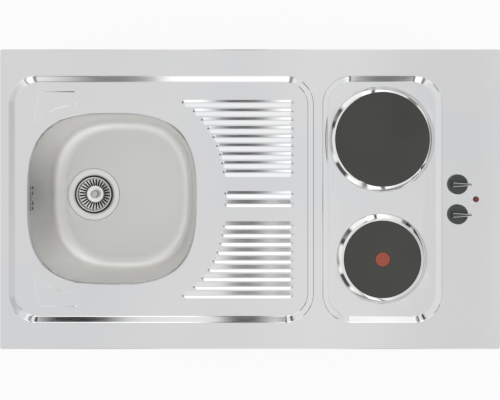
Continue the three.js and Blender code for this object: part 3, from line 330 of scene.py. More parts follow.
def maths(tree, operation, first, second=None, clamp=False):
    node = tree.nodes.new("ShaderNodeMath")
    node.operation = operation
    node.use_clamp = clamp
    for socket, value in zip(node.inputs, (first, second)):
        if isinstance(value, (int, float)):
            socket.default_value = value
        elif value is not None:
            tree.links.new(value, socket)
    return node.outputs[0]


# the bearing of (x, y) as a part of a turn, from -X through -Y, +X and +Y
def bearingOf(tree, x, y):
    turn = maths(tree, "DIVIDE", maths(tree, "ARCTAN2", y, x), math.tau)
    return maths(tree, "ADD", turn, 0.5)


def bump(tree, shader, height, strength, depth):
    node = tree.nodes.new("ShaderNodeBump")
    node.inputs["Strength"].default_value = strength
    node.inputs["Distance"].default_value = depth
    tree.links.new(height, node.inputs["Height"])
    tree.links.new(node.outputs["Normal"], shader.inputs["Normal"])


# ---- materials

# plan and levels of the bowl, which its look, the sheet and the waste share
bowl = {"x": -278, "halfX": 171.5, "halfY": 173.5, "squareness": 3, "rounder": 0.35,
        "steps": 160, "lip": 3.6, "roll": 1.2, "rollSoft": 1.92, "gauge": 1, "floor": -123,
        "draftX": 16, "draftY": 8, "wallSteps": 8, "fillet": 26, "filletSteps": 14,
        "litFoot": 12, "wasteX": -345, "seat": -125.5, "seatRadius": 58.1, "seatSteps": 96,
        "hole": 45.5}


# painted light and shade: how much of a tone shows by height, as (metres up, share) pairs, and on
# the bowl's walls also by bearing, as (part of a turn, share) pairs; each ramp holds half the share
def paintedLightShare(tree, coords, paintedLightShadeByHeight, sides):
    parts = tree.nodes.new("ShaderNodeSeparateXYZ")
    tree.links.new(coords, parts.inputs[0])
    x, y, z = parts.outputs
    low, high = paintedLightShadeByHeight[0][0], paintedLightShadeByHeight[-1][0]
    share = ramp(tree, spread(tree, z, 0, 1, low, high),
                 [((height - low) / (high - low), part / 2) for height, part in paintedLightShadeByHeight])
    # painted shade on the left wall and painted highlights on the back wall and corners, by bearing
    # round the bowl
    if sides:
        bearing = bearingOf(tree, maths(tree, "SUBTRACT", x, bowl["x"] * mm), y)
        paintedLightBySide = ramp(tree, bearing, [(turn, part / 2) for turn, part in sides])
        isWall = spread(tree, z, 0, 1, bowl["floor"] * mm,
                        (bowl["floor"] + bowl["litFoot"]) * mm)
        onWall = multiplied(tree, blended(tree, isWall, 0.5, paintedLightBySide), 2.0)
        share = multiplied(tree, share, onWall)
    return multiplied(tree, share, 2.0)


# rolled or turned metal: two close tones in soft clouds, grain along one direction; where asked,
# light and shade are painted into the tone by height, and on the bowl's walls by bearing
def steelLook(name, cool, warm, roughness, clouds=3.0, grain=(40, 900, 900), grainDepth=0.00001,
              variation=0.03, paintedLightShadeByHeight=(), sides=()):
    look, tree, shader, coords = newLook(name)
    shader.inputs["Metallic"].default_value = 1
    tone = ramp(tree, noise(tree, coords, clouds, detail=3), [(0.35, cool), (0.65, warm)])
    if paintedLightShadeByHeight:
        tone = multiplied(tree, tone, paintedLightShare(tree, coords, paintedLightShadeByHeight, sides))
    tree.links.new(tone, shader.inputs["Base Color"])
    streaks = noise(tree, scaled(tree, coords, grain), 1.0, detail=4, rough=0.6)
    tree.links.new(spread(tree, streaks, roughness - variation, roughness + variation),
                   shader.inputs["Roughness"])
    bump(tree, shader, streaks, strength=0.25, depth=grainDepth)
    return look


# moulded matter: two close tones in clouds under a fine grain
def plasticLook(name, colour, other, roughness, grain=600.0, clouds=20.0):
    grainDepth, variation = 0.00004, 0.05
    look, tree, shader, coords = newLook(name)
    tone = ramp(tree, noise(tree, coords, clouds, detail=3), [(0.3, colour), (0.7, other)])
    tree.links.new(tone, shader.inputs["Base Color"])
    fine = noise(tree, coords, grain)
    tree.links.new(spread(tree, fine, roughness - variation, roughness + variation),
                   shader.inputs["Roughness"])
    bump(tree, shader, fine, strength=0.4, depth=grainDepth)
    return look


def woodLook():
    yearRings = [(0.1, (0.5, 0.33, 0.17)), (0.62, (0.62, 0.44, 0.25)), (0.95, (0.4, 0.23, 0.1))]
    look, tree, shader, coords = newLook("softwood")
    wave = tree.nodes.new("ShaderNodeTexWave")
    wave.bands_direction = "Z"
    for socket, number in (("Scale", 3.2), ("Distortion", 7), ("Detail", 3),
                           ("Detail Scale", 1.4)):
        wave.inputs[socket].default_value = number
    tree.links.new(scaled(tree, coords, (1.2, 14, 14)), wave.inputs["Vector"])
    tree.links.new(ramp(tree, wave.outputs["Fac"], yearRings), shader.inputs["Base Color"])
    fibres = noise(tree, scaled(tree, coords, (30, 900, 900)), 1.0, detail=3)
    tree.links.new(spread(tree, fibres, 0.6, 0.8), shader.inputs["Roughness"])
    bump(tree, shader, fibres, strength=0.5, depth=0.0001)
    return look


def castIronLook():
    look, tree, shader, coords = newLook("castIron")
    shader.inputs["Specular IOR Level"].default_value = 0.35
    tone = ramp(tree, noise(tree, coords, 9, detail=4),
                [(0.3, (0.047, 0.050, 0.043)), (0.7, (0.060, 0.0625, 0.055))])
    tree.links.new(tone, shader.inputs["Base Color"])
    fine = noise(tree, coords, 1400, detail=3)
    tree.links.new(spread(tree, fine, 0.5, 0.66), shader.inputs["Roughness"])
    bump(tree, shader, fine, strength=0.35, depth=0.00005)
    return look


satinSteel = steelLook("satinSteel", (0.735, 0.743, 0.76), (0.775, 0.773, 0.77), 0.08, clouds=2.4)
# painted light: the fillet and walls are painted brighter than the floor as highlights, the left
# wall darker as painted shade, the back wall and corners lighter as painted highlights
bowlSteel = steelLook(
    "bowlSteel", (0.665, 0.662, 0.647), (0.69, 0.687, 0.673), 0.36, clouds=5,
    grain=(350, 350, 350), variation=0.04,
    paintedLightShadeByHeight=((-0.1226, 1.0), (-0.119, 1.25), (-0.112, 1.45), (-0.1, 1.42), (-0.07, 1.3),
             (0.03, 1.25)),
    sides=((0.0, 0.78), (0.06, 0.85), (0.125, 1.08), (0.19, 1.04), (0.25, 1.04), (0.38, 1.0),
           (0.5, 1.0), (0.62, 1.05), (0.75, 1.14), (0.875, 1.14), (0.94, 0.86), (1.0, 0.78)))
mirrorSteel = steelLook("mirrorSteel", (0.80, 0.80, 0.80), (0.84, 0.84, 0.83), 0.05, clouds=12,
                        variation=0.02)
wasteSteel = steelLook("wasteSteel", (0.72, 0.72, 0.71), (0.76, 0.76, 0.75), 0.24, clouds=30,
                       grain=(300, 300, 300))
# painted shade: the cup under the basket is painted nearly black towards its bottom, standing in
# for the shade beneath the basket
cupPaintedShadeSteel = steelLook("cupPaintedShadeSteel", (0.76, 0.76, 0.75), (0.79, 0.79, 0.78), 0.3, clouds=30,
                         grain=(900, 900, 900), grainDepth=0.000003,
                         paintedLightShadeByHeight=((-0.134, 0.1), (-0.1275, 0.16), (-0.1255, 1.0)))
basketSteel = steelLook("basketSteel", (0.90, 0.90, 0.89), (0.94, 0.94, 0.93), 0.3, clouds=30,
                        grain=(300, 300, 300))
brightSteel = steelLook("brightSteel", (0.5, 0.5, 0.49), (0.56, 0.56, 0.55), 0.25, clouds=60)
zincSteel = steelLook("zincSteel", (0.40, 0.42, 0.43), (0.50, 0.52, 0.53), 0.42, clouds=45,
                      grain=(120, 120, 120), variation=0.08)
castIron = castIronLook()
softwood = woodLook()
redEnamel = plasticLook("redEnamel", (0.34, 0.065, 0.033), (0.38, 0.078, 0.04), 0.5, clouds=300)
knobPlastic = plasticLook("knobPlastic", (0.040, 0.052, 0.052), (0.050, 0.062, 0.062), 0.34)
lampRed = plasticLook("lampRed", (0.14, 0.022, 0.022), (0.18, 0.03, 0.03), 0.12)
rubber = plasticLook("rubber", (0.018, 0.018, 0.02), (0.026, 0.026, 0.028), 0.7)
fibreSeal = plasticLook("fibreSeal", (0.12, 0.115, 0.105), (0.17, 0.16, 0.15), 0.9, grain=900)
ceramicLook = plasticLook("ceramic", (0.74, 0.70, 0.60), (0.80, 0.77, 0.69), 0.3)
switchPlastic = plasticLook("switchPlastic", (0.62, 0.60, 0.53), (0.68, 0.66, 0.59), 0.45)
blackPlastic = plasticLook("blackPlastic", (0.016, 0.017, 0.019), (0.024, 0.025, 0.027), 0.4)
wastePlastic = plasticLook("wastePlastic", (0.76, 0.77, 0.76), (0.80, 0.81, 0.80), 0.35)
hosePlastic = plasticLook("hosePlastic", (0.44, 0.46, 0.47), (0.50, 0.52, 0.53), 0.5)
markWhite = plasticLook("markWhite", (0.85, 0.86, 0.86), (0.92, 0.92, 0.92), 0.4)
leadSleeve = plasticLook("leadSleeve", (0.58, 0.53, 0.38), (0.66, 0.61, 0.46), 0.8, grain=1800)
print("materials made")


# ---- the pressed sheet

# sink and hob: left, right and steepness at the foot of each recess
sheet = {"halfX": 500, "halfY": 300, "deck": 40, "floor": 32, "gauge": 1, "lip": 15,
         "corner": 4, "cornerSteps": 6, "fold": 1.8, "foldSteps": 8, "recessHalfY": 247,
         "recessCorner": 58, "recessSteps": 24, "margin": 2.5, "bevel": 12, "crease": 1.2,
         "creaseSlope": 1.05, "creaseSoft": 0.5, "sink": (-484, 127.6, 1.05),
         "hob": (145, 384.8, 0.5), "mouth": 2.4, "collar": 25, "weld": 0.002}
# plates: name, y, radius of the plate and radius of its ring
hob = {"x": 264.9, "gap": 3.5, "holeSteps": 96, "plateSteps": 128, "ringSteps": 160,
       "plates": (("Rear", 120, 94, 106.5), ("Front", -120, 76.7, 91.3))}
controls = {"x": 415, "rows": {"Rear": 30, "Front": -30}, "hole": 5, "lampX": 452,
            "lampHole": 4.56, "holeSteps": 24}
ribs = {"pitch": 17.55, "start": 51.75, "end": 198, "right": 88, "offset": 54, "curve": 2.35,
        "sides": 34, "halfWidth": 7.8, "height": 3.4, "foot": 0.45, "shoulder": 0.9,
        "crest": 0.35, "crown": 0.1, "soft": 1.5, "lean": 1.2, "noseReach": 2}
# cornerOut and cornerIn: steps off the two ends of the slanted outer corner
ledges = {"height": 0.9, "edge": 2.6, "soft": 0.5, "left": -434, "length": 80, "outer": 217,
          "offset": 20, "steps": 12, "corner": (14, 26),
          "cornerOut": ((5, 0), (-2, -2), (-7, -12)), "cornerIn": ((2, 3), (0, -6))}


def bowlPoint(direction, a, b, squareness, z):
    bend = lambda v: math.copysign(abs(v) ** (2 / squareness), v)
    return Vector((bowl["x"] + a * bend(direction[0]), b * bend(direction[1]), z))


# a flat upward face with the plan of the bowl, grown by an offset
def bowlFace(bm, offset, z):
    before = set(bm.faces)
    ring = bmesh.ops.create_circle(bm, cap_ends=True, radius=1, segments=128)["verts"]
    for vert in ring:
        vert.co = bowlPoint(vert.co, bowl["halfX"] + offset, bowl["halfY"] + offset,
                            bowl["squareness"], z)
    return next(f for f in bm.faces if f not in before)


# half a rib pitch each side of the middle, then the two fans after a gap
def ribRows():
    rows = [ribs["pitch"] / 2]
    y = ribs["start"]
    while y <= ribs["end"]:
        rows.append(y)
        y += ribs["pitch"]
    return [side * y for y in rows for side in (1, -1)]


# the left tips follow a curve round the bowl
def ribLeft(y):
    a, b = bowl["halfX"] + ribs["offset"], bowl["halfY"] + ribs["offset"]
    n = ribs["curve"]
    return bowl["x"] + a * (1 - abs(y / b) ** n) ** (1 / n)


# a rib grows from a stretched circle and leans a little away from the middle of the drainer
def makeRib(bm, y):
    before = set(bm.faces)
    known = set(bm.edges)
    half, height, nearTip = ribs["halfWidth"], ribs["height"], 0.1
    ring = bmesh.ops.create_circle(bm, cap_ends=True, radius=half,
                                   segments=ribs["sides"])["verts"]
    bmesh.ops.rotate(bm, verts=ring, cent=(0, 0, 0),
                     matrix=Matrix.Rotation(math.pi / ribs["sides"], 3, "Z"))
    left = ribLeft(y) + half
    right = ribs["right"] - half
    bmesh.ops.translate(bm, verts=ring, vec=(left, y, sheet["floor"]))
    bmesh.ops.translate(bm, verts=[v for v in ring if v.co.x > left], vec=(right - left, 0, 0))
    face = next(f for f in bm.faces if f not in before)
    section = [(0, 0), (ribs["foot"], 0), (half - ribs["shoulder"], height - ribs["crown"]),
               (half - ribs["crest"], height)]
    press(bm, face, softProfile(section, ribs["soft"], 4))
    lean = Matrix.Identity(4)
    lean[1][2] = math.copysign(ribs["lean"] / height, y)
    fromFloor = Matrix.Translation((0, 0, sheet["floor"]))
    made = list({v for f in bm.faces if f not in before for v in f.verts})
    bmesh.ops.transform(bm, matrix=fromFloor @ lean @ fromFloor.inverted(), verts=made)
    for vert in made:  # the noses stand steeper than the flanks
        reach = ribs["noseReach"] * (vert.co.z - sheet["floor"]) / height
        if vert.co.x < left + nearTip:
            vert.co.x -= reach
        elif vert.co.x > right - nearTip:
            vert.co.x += reach
    return openRing(bm, known)


# a shallow ledge beside the bowl: side 1 is the back one, -1 the front one
def makeLedge(bm, side):
    before = set(bm.faces)
    known = set(bm.edges)
    left, right, outer = ledges["left"], ledges["left"] + ledges["length"], ledges["outer"]
    a, b = bowl["halfX"] + ledges["offset"], bowl["halfY"] + ledges["offset"]
    n, steps = bowl["squareness"], ledges["steps"]
    alongBowl = []
    for i in range(steps + 1):
        x = left + (right - left) * i / steps
        alongBowl.append((x, b * (1 - abs((x - bowl["x"]) / a) ** n) ** (1 / n)))
    first, last = alongBowl[0][1], alongBowl[-1][1]
    radius = (outer - last) / 2
    nose = [(right + radius * math.sin(math.pi * i / steps),
             last + radius - radius * math.cos(math.pi * i / steps))
            for i in range(1, steps + 1)]
    across, down = ledges["corner"]
    corner = [(left + across + dx, outer + dy) for dx, dy in ledges["cornerOut"]]
    corner += [(left + dx, first + down + dy) for dx, dy in ledges["cornerIn"]]
    outline = [(x, side * y, sheet["floor"]) for x, y in alongBowl + nose + corner]
    bm.faces.new([bm.verts.new(p) for p in (outline if side > 0 else outline[::-1])])
    face = next(f for f in bm.faces if f not in before)
    face.normal_update()
    height, edge, soft = ledges["height"], ledges["edge"], ledges["soft"]
    press(bm, face, [(0, 0), (soft, height * 0.1), (edge - soft, height * 0.9), (edge, height)])
    return openRing(bm, known)


# the bevel round a recess: its outer edges and those at its foot
def makeRecess(bm, left, right, footSlope):
    known = set(bm.edges)
    margin, crease, width = sheet["margin"], sheet["crease"], sheet["bevel"]
    drop = sheet["floor"] - sheet["deck"]
    slope = softProfile([(-margin, 0), (0, 0), (crease, -crease * sheet["creaseSlope"]),
                         (width - crease, drop + crease * footSlope), (width, drop),
                         (width + margin, drop)], sheet["creaseSoft"])
    halfY = sheet["recessHalfY"] + margin
    face = roundedFace(bm, left - margin, right + margin, -halfY, halfY,
                       sheet["recessCorner"] + margin, sheet["deck"], sheet["recessSteps"])
    press(bm, face, slope)
    foot = list(face.edges)
    removeFace(bm, face)
    return openRing(bm, known, foot), foot


# the lip under the rim, the rim's wall and its fold; returns the inner edges of the fold
def makeRim(bm):
    plan = (-sheet["halfX"], sheet["halfX"], -sheet["halfY"], sheet["halfY"], sheet["corner"], 0,
            sheet["cornerSteps"])
    lip = roundedFace(bm, *plan)
    press(bm, lip, [(0, 0), (sheet["lip"], 0)])
    removeFace(bm, lip)
    top = roundedFace(bm, *plan)
    fold, wall = sheet["fold"], sheet["deck"] - sheet["fold"]
    turns = [math.pi / 2 * i / sheet["foldSteps"] for i in range(sheet["foldSteps"] + 1)]
    press(bm, top, [(0, 0)] + [(fold * (1 - math.cos(turn)), wall + fold * math.sin(turn))
                               for turn in turns])
    edges = list(top.edges)
    removeFace(bm, top)
    return edges


# the sheet turns down into the bowl; returns the edges round the mouth
def makeCollar(bm):
    known = set(bm.edges)
    mouth = bowlFace(bm, sheet["mouth"], sheet["floor"])
    lip = softProfile([(-sheet["mouth"], 0), (bowl["roll"], 0),
                       (bowl["lip"], sheet["collar"] - sheet["floor"])], bowl["rollSoft"], 7)
    press(bm, mouth, lip)
    end = list(mouth.edges)
    removeFace(bm, mouth)
    return openRing(bm, known, end)


def makeSheet():
    bm = bmesh.new()
    rim = makeRim(bm)
    sinkEdge, sinkFoot = makeRecess(bm, *sheet["sink"])
    hobEdge, hobFoot = makeRecess(bm, *sheet["hob"])
    holes = [makeHole(bm, controls["x"], y, controls["hole"], sheet["deck"],
                      controls["holeSteps"]) for y in controls["rows"].values()]
    holes.append(makeHole(bm, controls["lampX"], 0, controls["lampHole"], sheet["deck"],
                          controls["holeSteps"]))
    fillFlat(bm, rim + sinkEdge + hobEdge + sum(holes, []))
    collar = makeCollar(bm)
    forms = [makeRib(bm, y) for y in ribRows()] + [makeLedge(bm, 1), makeLedge(bm, -1)]
    fillFlat(bm, sinkFoot + collar + sum(forms, []))
    cutouts = [makeHole(bm, hob["x"], y, plate + hob["gap"], sheet["floor"], hob["holeSteps"])
               for _, y, plate, _ in hob["plates"]]
    fillFlat(bm, hobFoot + sum(cutouts, []))
    bmesh.ops.remove_doubles(bm, verts=bm.verts, dist=sheet["weld"])
    piece = finishPiece("worktopSheet", bm, satinSteel, "worktop_sheet")
    giveGauge(piece, sheet["gauge"])
    flatFacesLead(piece)


makeSheet()
print("worktop sheet made")


# ---- bowl

overflow = {"x": -443.7, "z": 11.5, "slot": 7, "columns": (-2, -1, 1, 2), "pitch": 10.5,
            "rowGap": 12, "reach": 8}


# the plan of the bowl at a level: half widths, squareness and height
def bowlLevel(z, inset):
    fall = min((sheet["collar"] - z) / (sheet["collar"] - bowl["floor"]), 1)
    a = bowl["halfX"] - bowl["lip"] - bowl["draftX"] * fall - inset
    b = bowl["halfY"] - bowl["lip"] - bowl["draftY"] * fall - inset
    return a, b, bowl["squareness"] - bowl["rounder"] * fall, z


# levels down the drafted wall, then round the fillet to the floor
def bowlLevels():
    top, floor, fillet = sheet["collar"], bowl["floor"], bowl["fillet"]
    levels = [bowlLevel(top + (floor + fillet - top) * i / bowl["wallSteps"], 0)
              for i in range(bowl["wallSteps"] + 1)]
    for i in range(1, bowl["filletSteps"] + 1):
        turn = math.pi / 2 * i / bowl["filletSteps"]
        levels.append(bowlLevel(floor + fillet * (1 - math.sin(turn)),
                                fillet * (1 - math.cos(turn))))
    return levels


def overflowSlots():
    bm = bmesh.new()
    half, reach = overflow["slot"] / 2, overflow["reach"]
    for column in overflow["columns"]:
        for row in (-0.5, 0.5):
            y, z = column * overflow["pitch"], overflow["z"] + row * overflow["rowGap"]
            block(bm, overflow["x"] - reach, overflow["x"] + reach, y - half, y + half,
                  z - half, z + half)
    return bm


def makeBowl():
    bm = bmesh.new()
    ring = bmesh.ops.create_circle(bm, cap_ends=False, radius=1,
                                   segments=bowl["steps"])["verts"]
    directions = [v.co.copy() for v in ring]
    edges = edgesOf(ring)
    for number, level in enumerate(bowlLevels()):
        if number:
            edges, ring = grown(bm, edges)
        for vert, direction in zip(ring, directions):
            vert.co = bowlPoint(direction, *level)
    seat = makeHole(bm, bowl["wasteX"], 0, bowl["seatRadius"], bowl["floor"],
                    bowl["seatSteps"])
    fillFlat(bm, edges + seat)
    step, corners = grown(bm, seat)
    bmesh.ops.translate(bm, verts=corners, vec=(0, 0, bowl["seat"] - bowl["floor"]))
    corners = grown(bm, step)[1]
    share = bowl["hole"] / bowl["seatRadius"]
    bmesh.ops.scale(bm, vec=(share, share, 1), verts=corners,
                    space=Matrix.Translation((-bowl["wasteX"], 0, 0)))
    bmesh.ops.recalc_face_normals(bm, faces=bm.faces)
    onFloor = Vector((-200, 0, bowl["floor"]))
    floorFace = min(bm.faces, key=lambda f: (f.calc_center_median() - onFloor).length)
    if floorFace.normal.z < 0:  # the gauge grows away from the side that is seen
        bmesh.ops.reverse_faces(bm, faces=bm.faces)
    piece = finishPiece("sinkBowl", bm, bowlSteel, "sink_bowl", turnOut=False)
    giveGauge(piece, bowl["gauge"])
    cutWith(piece, overflowSlots())
    flatFacesLead(piece)


makeBowl()
print("bowl made")


# ---- hotplates with their rings

def plateSection(name, radius):
    plate = {"top": 43, "foot": 26, "hollow": 5, "wall": 8, "rebate": 4, "rebateZ": 36.7,
             "slant": 1, "socket": 15.4, "socketFoot": 14.6, "socketDepth": 1.3, "soft": 0.9}
    top, foot = plate["top"], plate["foot"]
    inWall, rebate = radius - plate["rebate"] - plate["wall"], radius - plate["rebate"]
    middle = [(0, top)]
    if name == "Front":  # it carries the red mark in a shallow socket
        floor = top - plate["socketDepth"]
        middle = [(plate["socket"], top), (plate["socketFoot"], floor), (0, floor)]
    hollow = foot + plate["hollow"]
    outside = [(0, hollow), (inWall - plate["slant"], hollow), (inWall, foot), (rebate, foot),
               (rebate, plate["rebateZ"]), (radius, plate["rebateZ"]), (radius, top)]
    return softProfile(outside + middle, plate["soft"])


# a dished ring that rises from the sheet to the plate
def ringSection(plate, ring):
    dish = {"foot": 32.3, "crown": 41.7, "edge": 0.9, "gap": 0.7, "toe": 0.1, "toeUnder": 0.15,
            "rise": 0.11, "bend": 0.62, "bendRise": 0.55, "wall": 1, "footWall": 0.8,
            "soft": 1.4}
    wide, foot, crown = ring - plate, dish["foot"], dish["crown"]
    bend, middle, inner = (ring - wide * dish["bend"], foot + wide * dish["bendRise"],
                           plate + dish["gap"])
    toe = foot + wide * dish["rise"]
    return softProfile([
        (ring, foot), (ring - wide * dish["toe"], toe), (bend, middle), (inner, crown),
        (inner, crown - dish["edge"]), (bend, middle - dish["wall"]),
        (ring - wide * dish["toeUnder"], toe - dish["footWall"]),
        (ring - dish["edge"], foot)], dish["soft"], 5)


for name, y, plate, ring in hob["plates"]:
    casting = turned(plateSection(name, plate), hob["x"], y, hob["plateSteps"])
    finishPiece("hotplate" + name, casting, castIron, "hotplate_" + name.lower())
    spill = turned(ringSection(plate, ring), hob["x"], y, hob["ringSteps"])
    finishPiece("trimRing" + name, spill, mirrorSteel, "trim_ring_" + name.lower())

mark = {"y": -120, "radius": 14.3, "bottom": 42, "top": 42.7, "soft": 0.4, "steps": 64}
disc = softProfile([(0, mark["bottom"]), (mark["radius"], mark["bottom"]),
                    (mark["radius"], mark["top"]), (0, mark["top"])], mark["soft"])
finishPiece("rapidMark", turned(disc, hob["x"], mark["y"], mark["steps"]), redEnamel,
            "rapid_mark")
print("hotplates made")


# ---- knobs and lamp

knob = {"bottom": 40.75, "hollow": 0.6, "rim": 2, "radius": 20, "shoulder": 18.4, "skirt": 5,
        "face": 49, "dome": 0.6, "soft": 1.2, "steps": 96, "sunk": 2, "top": 65.1,
        "tail": -14.5, "nose": 22.5, "tailHalf": 4.4, "noseHalf": 1.5, "noseFoot": 5,
        "narrowing": 0.98, "flare": 1.5, "edge": 1.2}
trim = {"half": 0.45, "short": 1, "sunk": 0.6, "proud": 0.3, "noseInset": 0.4,
        "tailInset": 0.5, "edge": 0.2}


def makeKnob(name, y):
    body = name.lower() + "_control"
    bottom, radius, face = knob["bottom"], knob["radius"], knob["face"]
    inside = radius - knob["rim"]
    skirt = softProfile([
        (0, bottom + knob["hollow"]), (inside, bottom + knob["hollow"]), (inside, bottom),
        (radius, bottom), (radius, bottom + knob["skirt"]),
        (knob["shoulder"], face - knob["dome"]), (0, face + knob["dome"])], knob["soft"])
    bm = turned(skirt, 0, 0, knob["steps"])
    grip = block(bm, knob["tail"], knob["nose"], -1, 1, face - knob["sunk"], knob["top"])
    for vert in grip:  # it narrows from tail to nose and flares where it meets the skirt
        vert.co.y *= knob["noseHalf"] if vert.co.x > 0 else knob["tailHalf"]
        if vert.co.z > face:
            vert.co.x *= knob["narrowing"]
        else:
            vert.co.y *= knob["flare"]
        if vert.co.x > 0:
            vert.co.z = max(vert.co.z, face + knob["noseFoot"])
    bmesh.ops.translate(bm, vec=(controls["x"], y, 0), verts=bm.verts)
    piece = finishPiece("knob" + name, bm, knobPlastic, "knob_" + name.lower(), body)
    softenEdges(piece, knob["edge"], 3)
    makeTrims(name, y, body)


# the two pale edges on a grip
def makeTrims(name, y, body):
    for side, part in ((1, "Left"), (-1, "Right")):
        bm = bmesh.new()
        for vert in block(bm, knob["tail"], knob["nose"] - trim["short"], -trim["half"],
                          trim["half"], knob["top"] - trim["sunk"], knob["top"] + trim["proud"]):
            isNose = vert.co.x > 0
            vert.co.y += side * (knob["noseHalf"] - trim["noseInset"] if isNose
                                 else knob["tailHalf"] - trim["tailInset"])
        bmesh.ops.translate(bm, vec=(controls["x"], y, 0), verts=bm.verts)
        piece = finishPiece("trim" + part + name, bm, wasteSteel, body=body)
        softenEdges(piece, trim["edge"], 2)


for name, y in controls["rows"].items():
    makeKnob(name, y)

lens = {"bottom": 36, "shank": 4.26, "seat": 40.3, "radius": 6, "rim": 41.3, "shoulder": (5, 43),
        "crown": (2.7, 44), "top": 44.1, "soft": 0.5, "steps": 48}
dome = softProfile([
    (0, lens["bottom"]), (lens["shank"], lens["bottom"]), (lens["shank"], lens["seat"]),
    (lens["radius"], lens["seat"]), (lens["radius"], lens["rim"]), lens["shoulder"],
    lens["crown"], (0, lens["top"])], lens["soft"])
finishPiece("lampLens", turned(dome, controls["lampX"], 0, lens["steps"]), lampRed,
            "lamp_lens")

# a short pale stroke beside each knob shows its off position
dash = {"x": 449, "rows": {"Rear": 32, "Front": -32}, "half": 3, "halfWidth": 0.6, "lift": 0.02,
        "thick": 0.1}
for name, y in dash["rows"].items():
    bm = bmesh.new()
    low = sheet["deck"] + dash["lift"]
    block(bm, dash["x"] - dash["half"], dash["x"] + dash["half"], y - dash["halfWidth"],
          y + dash["halfWidth"], low, low + dash["thick"])
    finishPiece("dash" + name, bm, markWhite)
print("controls made")


# ---- strainer waste; pairs are a radius and a height over the piece's own level

flange = {"lift": 0.3, "radius": 57, "edge": 0.9, "crown": (55.6, 1.7), "slope": (46.5, 1.1),
          "throat": (41, -2.2), "cup": 40.2, "depth": 30, "bore": 3.35, "wall": 1.1,
          "throatUnder": (42.3, -2), "seatUnder": 44.5, "soft": 0.8, "steps": 128}
basket = {"rim": 0.9, "depth": 18.1, "wall": 1.1, "radius": 38.6, "crest": 37.6,
          "brim": (36.2, -0.6), "shoulder": (34.2, 9), "flat": 17.5, "bore": 3.3, "underFlat": 17.9,
          "underShoulder": (35.1, 8.3), "underBrim": (37, -1.6), "drip": 1.4,
          "soft": 0.7, "steps": 168, "slots": 28, "slotHalf": 1.7, "slotReach": (18.6, 33.2),
          "slotDepth": (4, 15)}
stalk = {"pin": 3, "drop": 6.1, "collar": 4.6, "collarLift": 0.3, "neck": (4.1, 8),
         "under": (7.9, 10), "widest": (8.3, 14.5), "brow": (6.5, 16.5), "top": 17,
         "soft": 1.0, "steps": 48}


def makeFlange():
    low = bowl["seat"] + flange["lift"]
    at = lambda key: (flange[key][0], low + flange[key][1])
    floor, cup, bore, wall = (bowl["seat"] - flange["depth"], flange["cup"], flange["bore"],
                              flange["wall"])
    section = [(flange["radius"], low), (flange["radius"], low + flange["edge"]), at("crown"),
               at("slope"), at("throat"), (cup, floor), (bore, floor), (bore, floor - wall),
               (cup + wall, floor - wall), at("throatUnder"), (flange["seatUnder"], low)]
    bm = turned(softProfile(section, flange["soft"]), bowl["wasteX"], 0, flange["steps"])
    finishPiece("wasteFlange", bm, cupPaintedShadeSteel, "waste_flange")


def makeBasket():
    rim, floor = bowl["seat"] + basket["rim"], bowl["seat"] - basket["depth"]
    at = lambda key, level: (basket[key][0], level + basket[key][1])
    under, bore = floor - basket["wall"], basket["bore"]
    section = [(basket["radius"], rim - basket["drip"]), (basket["crest"], rim), at("brim", rim),
               at("shoulder", floor), (basket["flat"], floor), (bore, floor), (bore, under),
               (basket["underFlat"], under), at("underShoulder", floor), at("underBrim", rim)]
    dish = turned(softProfile(section, basket["soft"]), bowl["wasteX"], 0, basket["steps"])
    piece = finishPiece("strainerBasket", dish, basketSteel, "strainer_basket", "strainer")
    slots = bmesh.new()
    half, (down, up) = basket["slotHalf"], basket["slotDepth"]
    for i in range(basket["slots"]):
        slot = block(slots, *basket["slotReach"], -half, half, floor - down, floor + up)
        turn = Matrix.Rotation(math.tau * (i + 0.5) / basket["slots"], 3, "Z")
        bmesh.ops.rotate(slots, verts=slot, cent=(0, 0, 0), matrix=turn)
    bmesh.ops.translate(slots, verts=slots.verts, vec=(bowl["wasteX"], 0, 0))
    cutWith(piece, slots)


# the knob that lifts the basket
def makeStalk():
    floor = bowl["seat"] - basket["depth"]
    at = lambda key: (stalk[key][0], floor + stalk[key][1])
    low, collar = floor - stalk["drop"], floor + stalk["collarLift"]
    section = [(0, low), (stalk["pin"], low), (stalk["pin"], collar), (stalk["collar"], collar),
               at("neck"), at("under"), at("widest"), at("brow"), (0, floor + stalk["top"])]
    bm = turned(softProfile(section, stalk["soft"]), bowl["wasteX"], 0, stalk["steps"])
    finishPiece("strainerKnob", bm, brightSteel, "strainer_knob", "strainer")


makeFlange()
makeBasket()
makeStalk()
print("waste made")


# ---- overflow hose and the leads under the hob

plateRoute = [(264.9, 76, 10.4), (264.9, 76, 5.7), (276.9, 73, -29.3), (334.9, 62, -29.3),
              (403, 42, -29.3), (409, 30, -7.5), (409, 30, -2.8)]
# each lead's node, radius and corners
leads = {
    "plateLeadRear": ("plate_lead_rear", 2.5, plateRoute),
    "plateLeadFront": ("plate_lead_front", 2.5, [(x, -y, z) for x, y, z in plateRoute]),
    "supplyLead": ("supply_lead", 2.5, [
        (423, 201.4, -29.3), (423, 196.7, -29.3), (425, 130.85, -29.3), (423, 46, -29.3),
        (423, 30, -7.5), (423, 30, -2.8)]),
    "lampLead": ("lamp_lead", 1.6, [
        (452, 0, 12.4), (452, 0, 7.7), (448, -15, -23.3), (426, -32, -23.3),
        (423, -30, -7.5), (423, -30, -2.8)]),
}
leadStep, leadSides = 3, 16
for name, (node, radius, corners) in leads.items():
    route = smoothRoute(corners, leadStep)
    finishPiece(name, swept(route, [radius] * len(route), leadSides), leadSleeve, node)

hose = {"x": -460.07, "top": -5.8, "bend": -108.9, "low": -146.9, "end": -399.3, "endRun": 22,
        "bendDown": 14, "bendAcross": 6, "radius": 9.6, "valley": 7.9, "pitch": 4.2,
        "roundness": 0.6, "cuff": 11, "rings": 8, "sides": 28, "downSteps": 20, "bendSteps": 40}


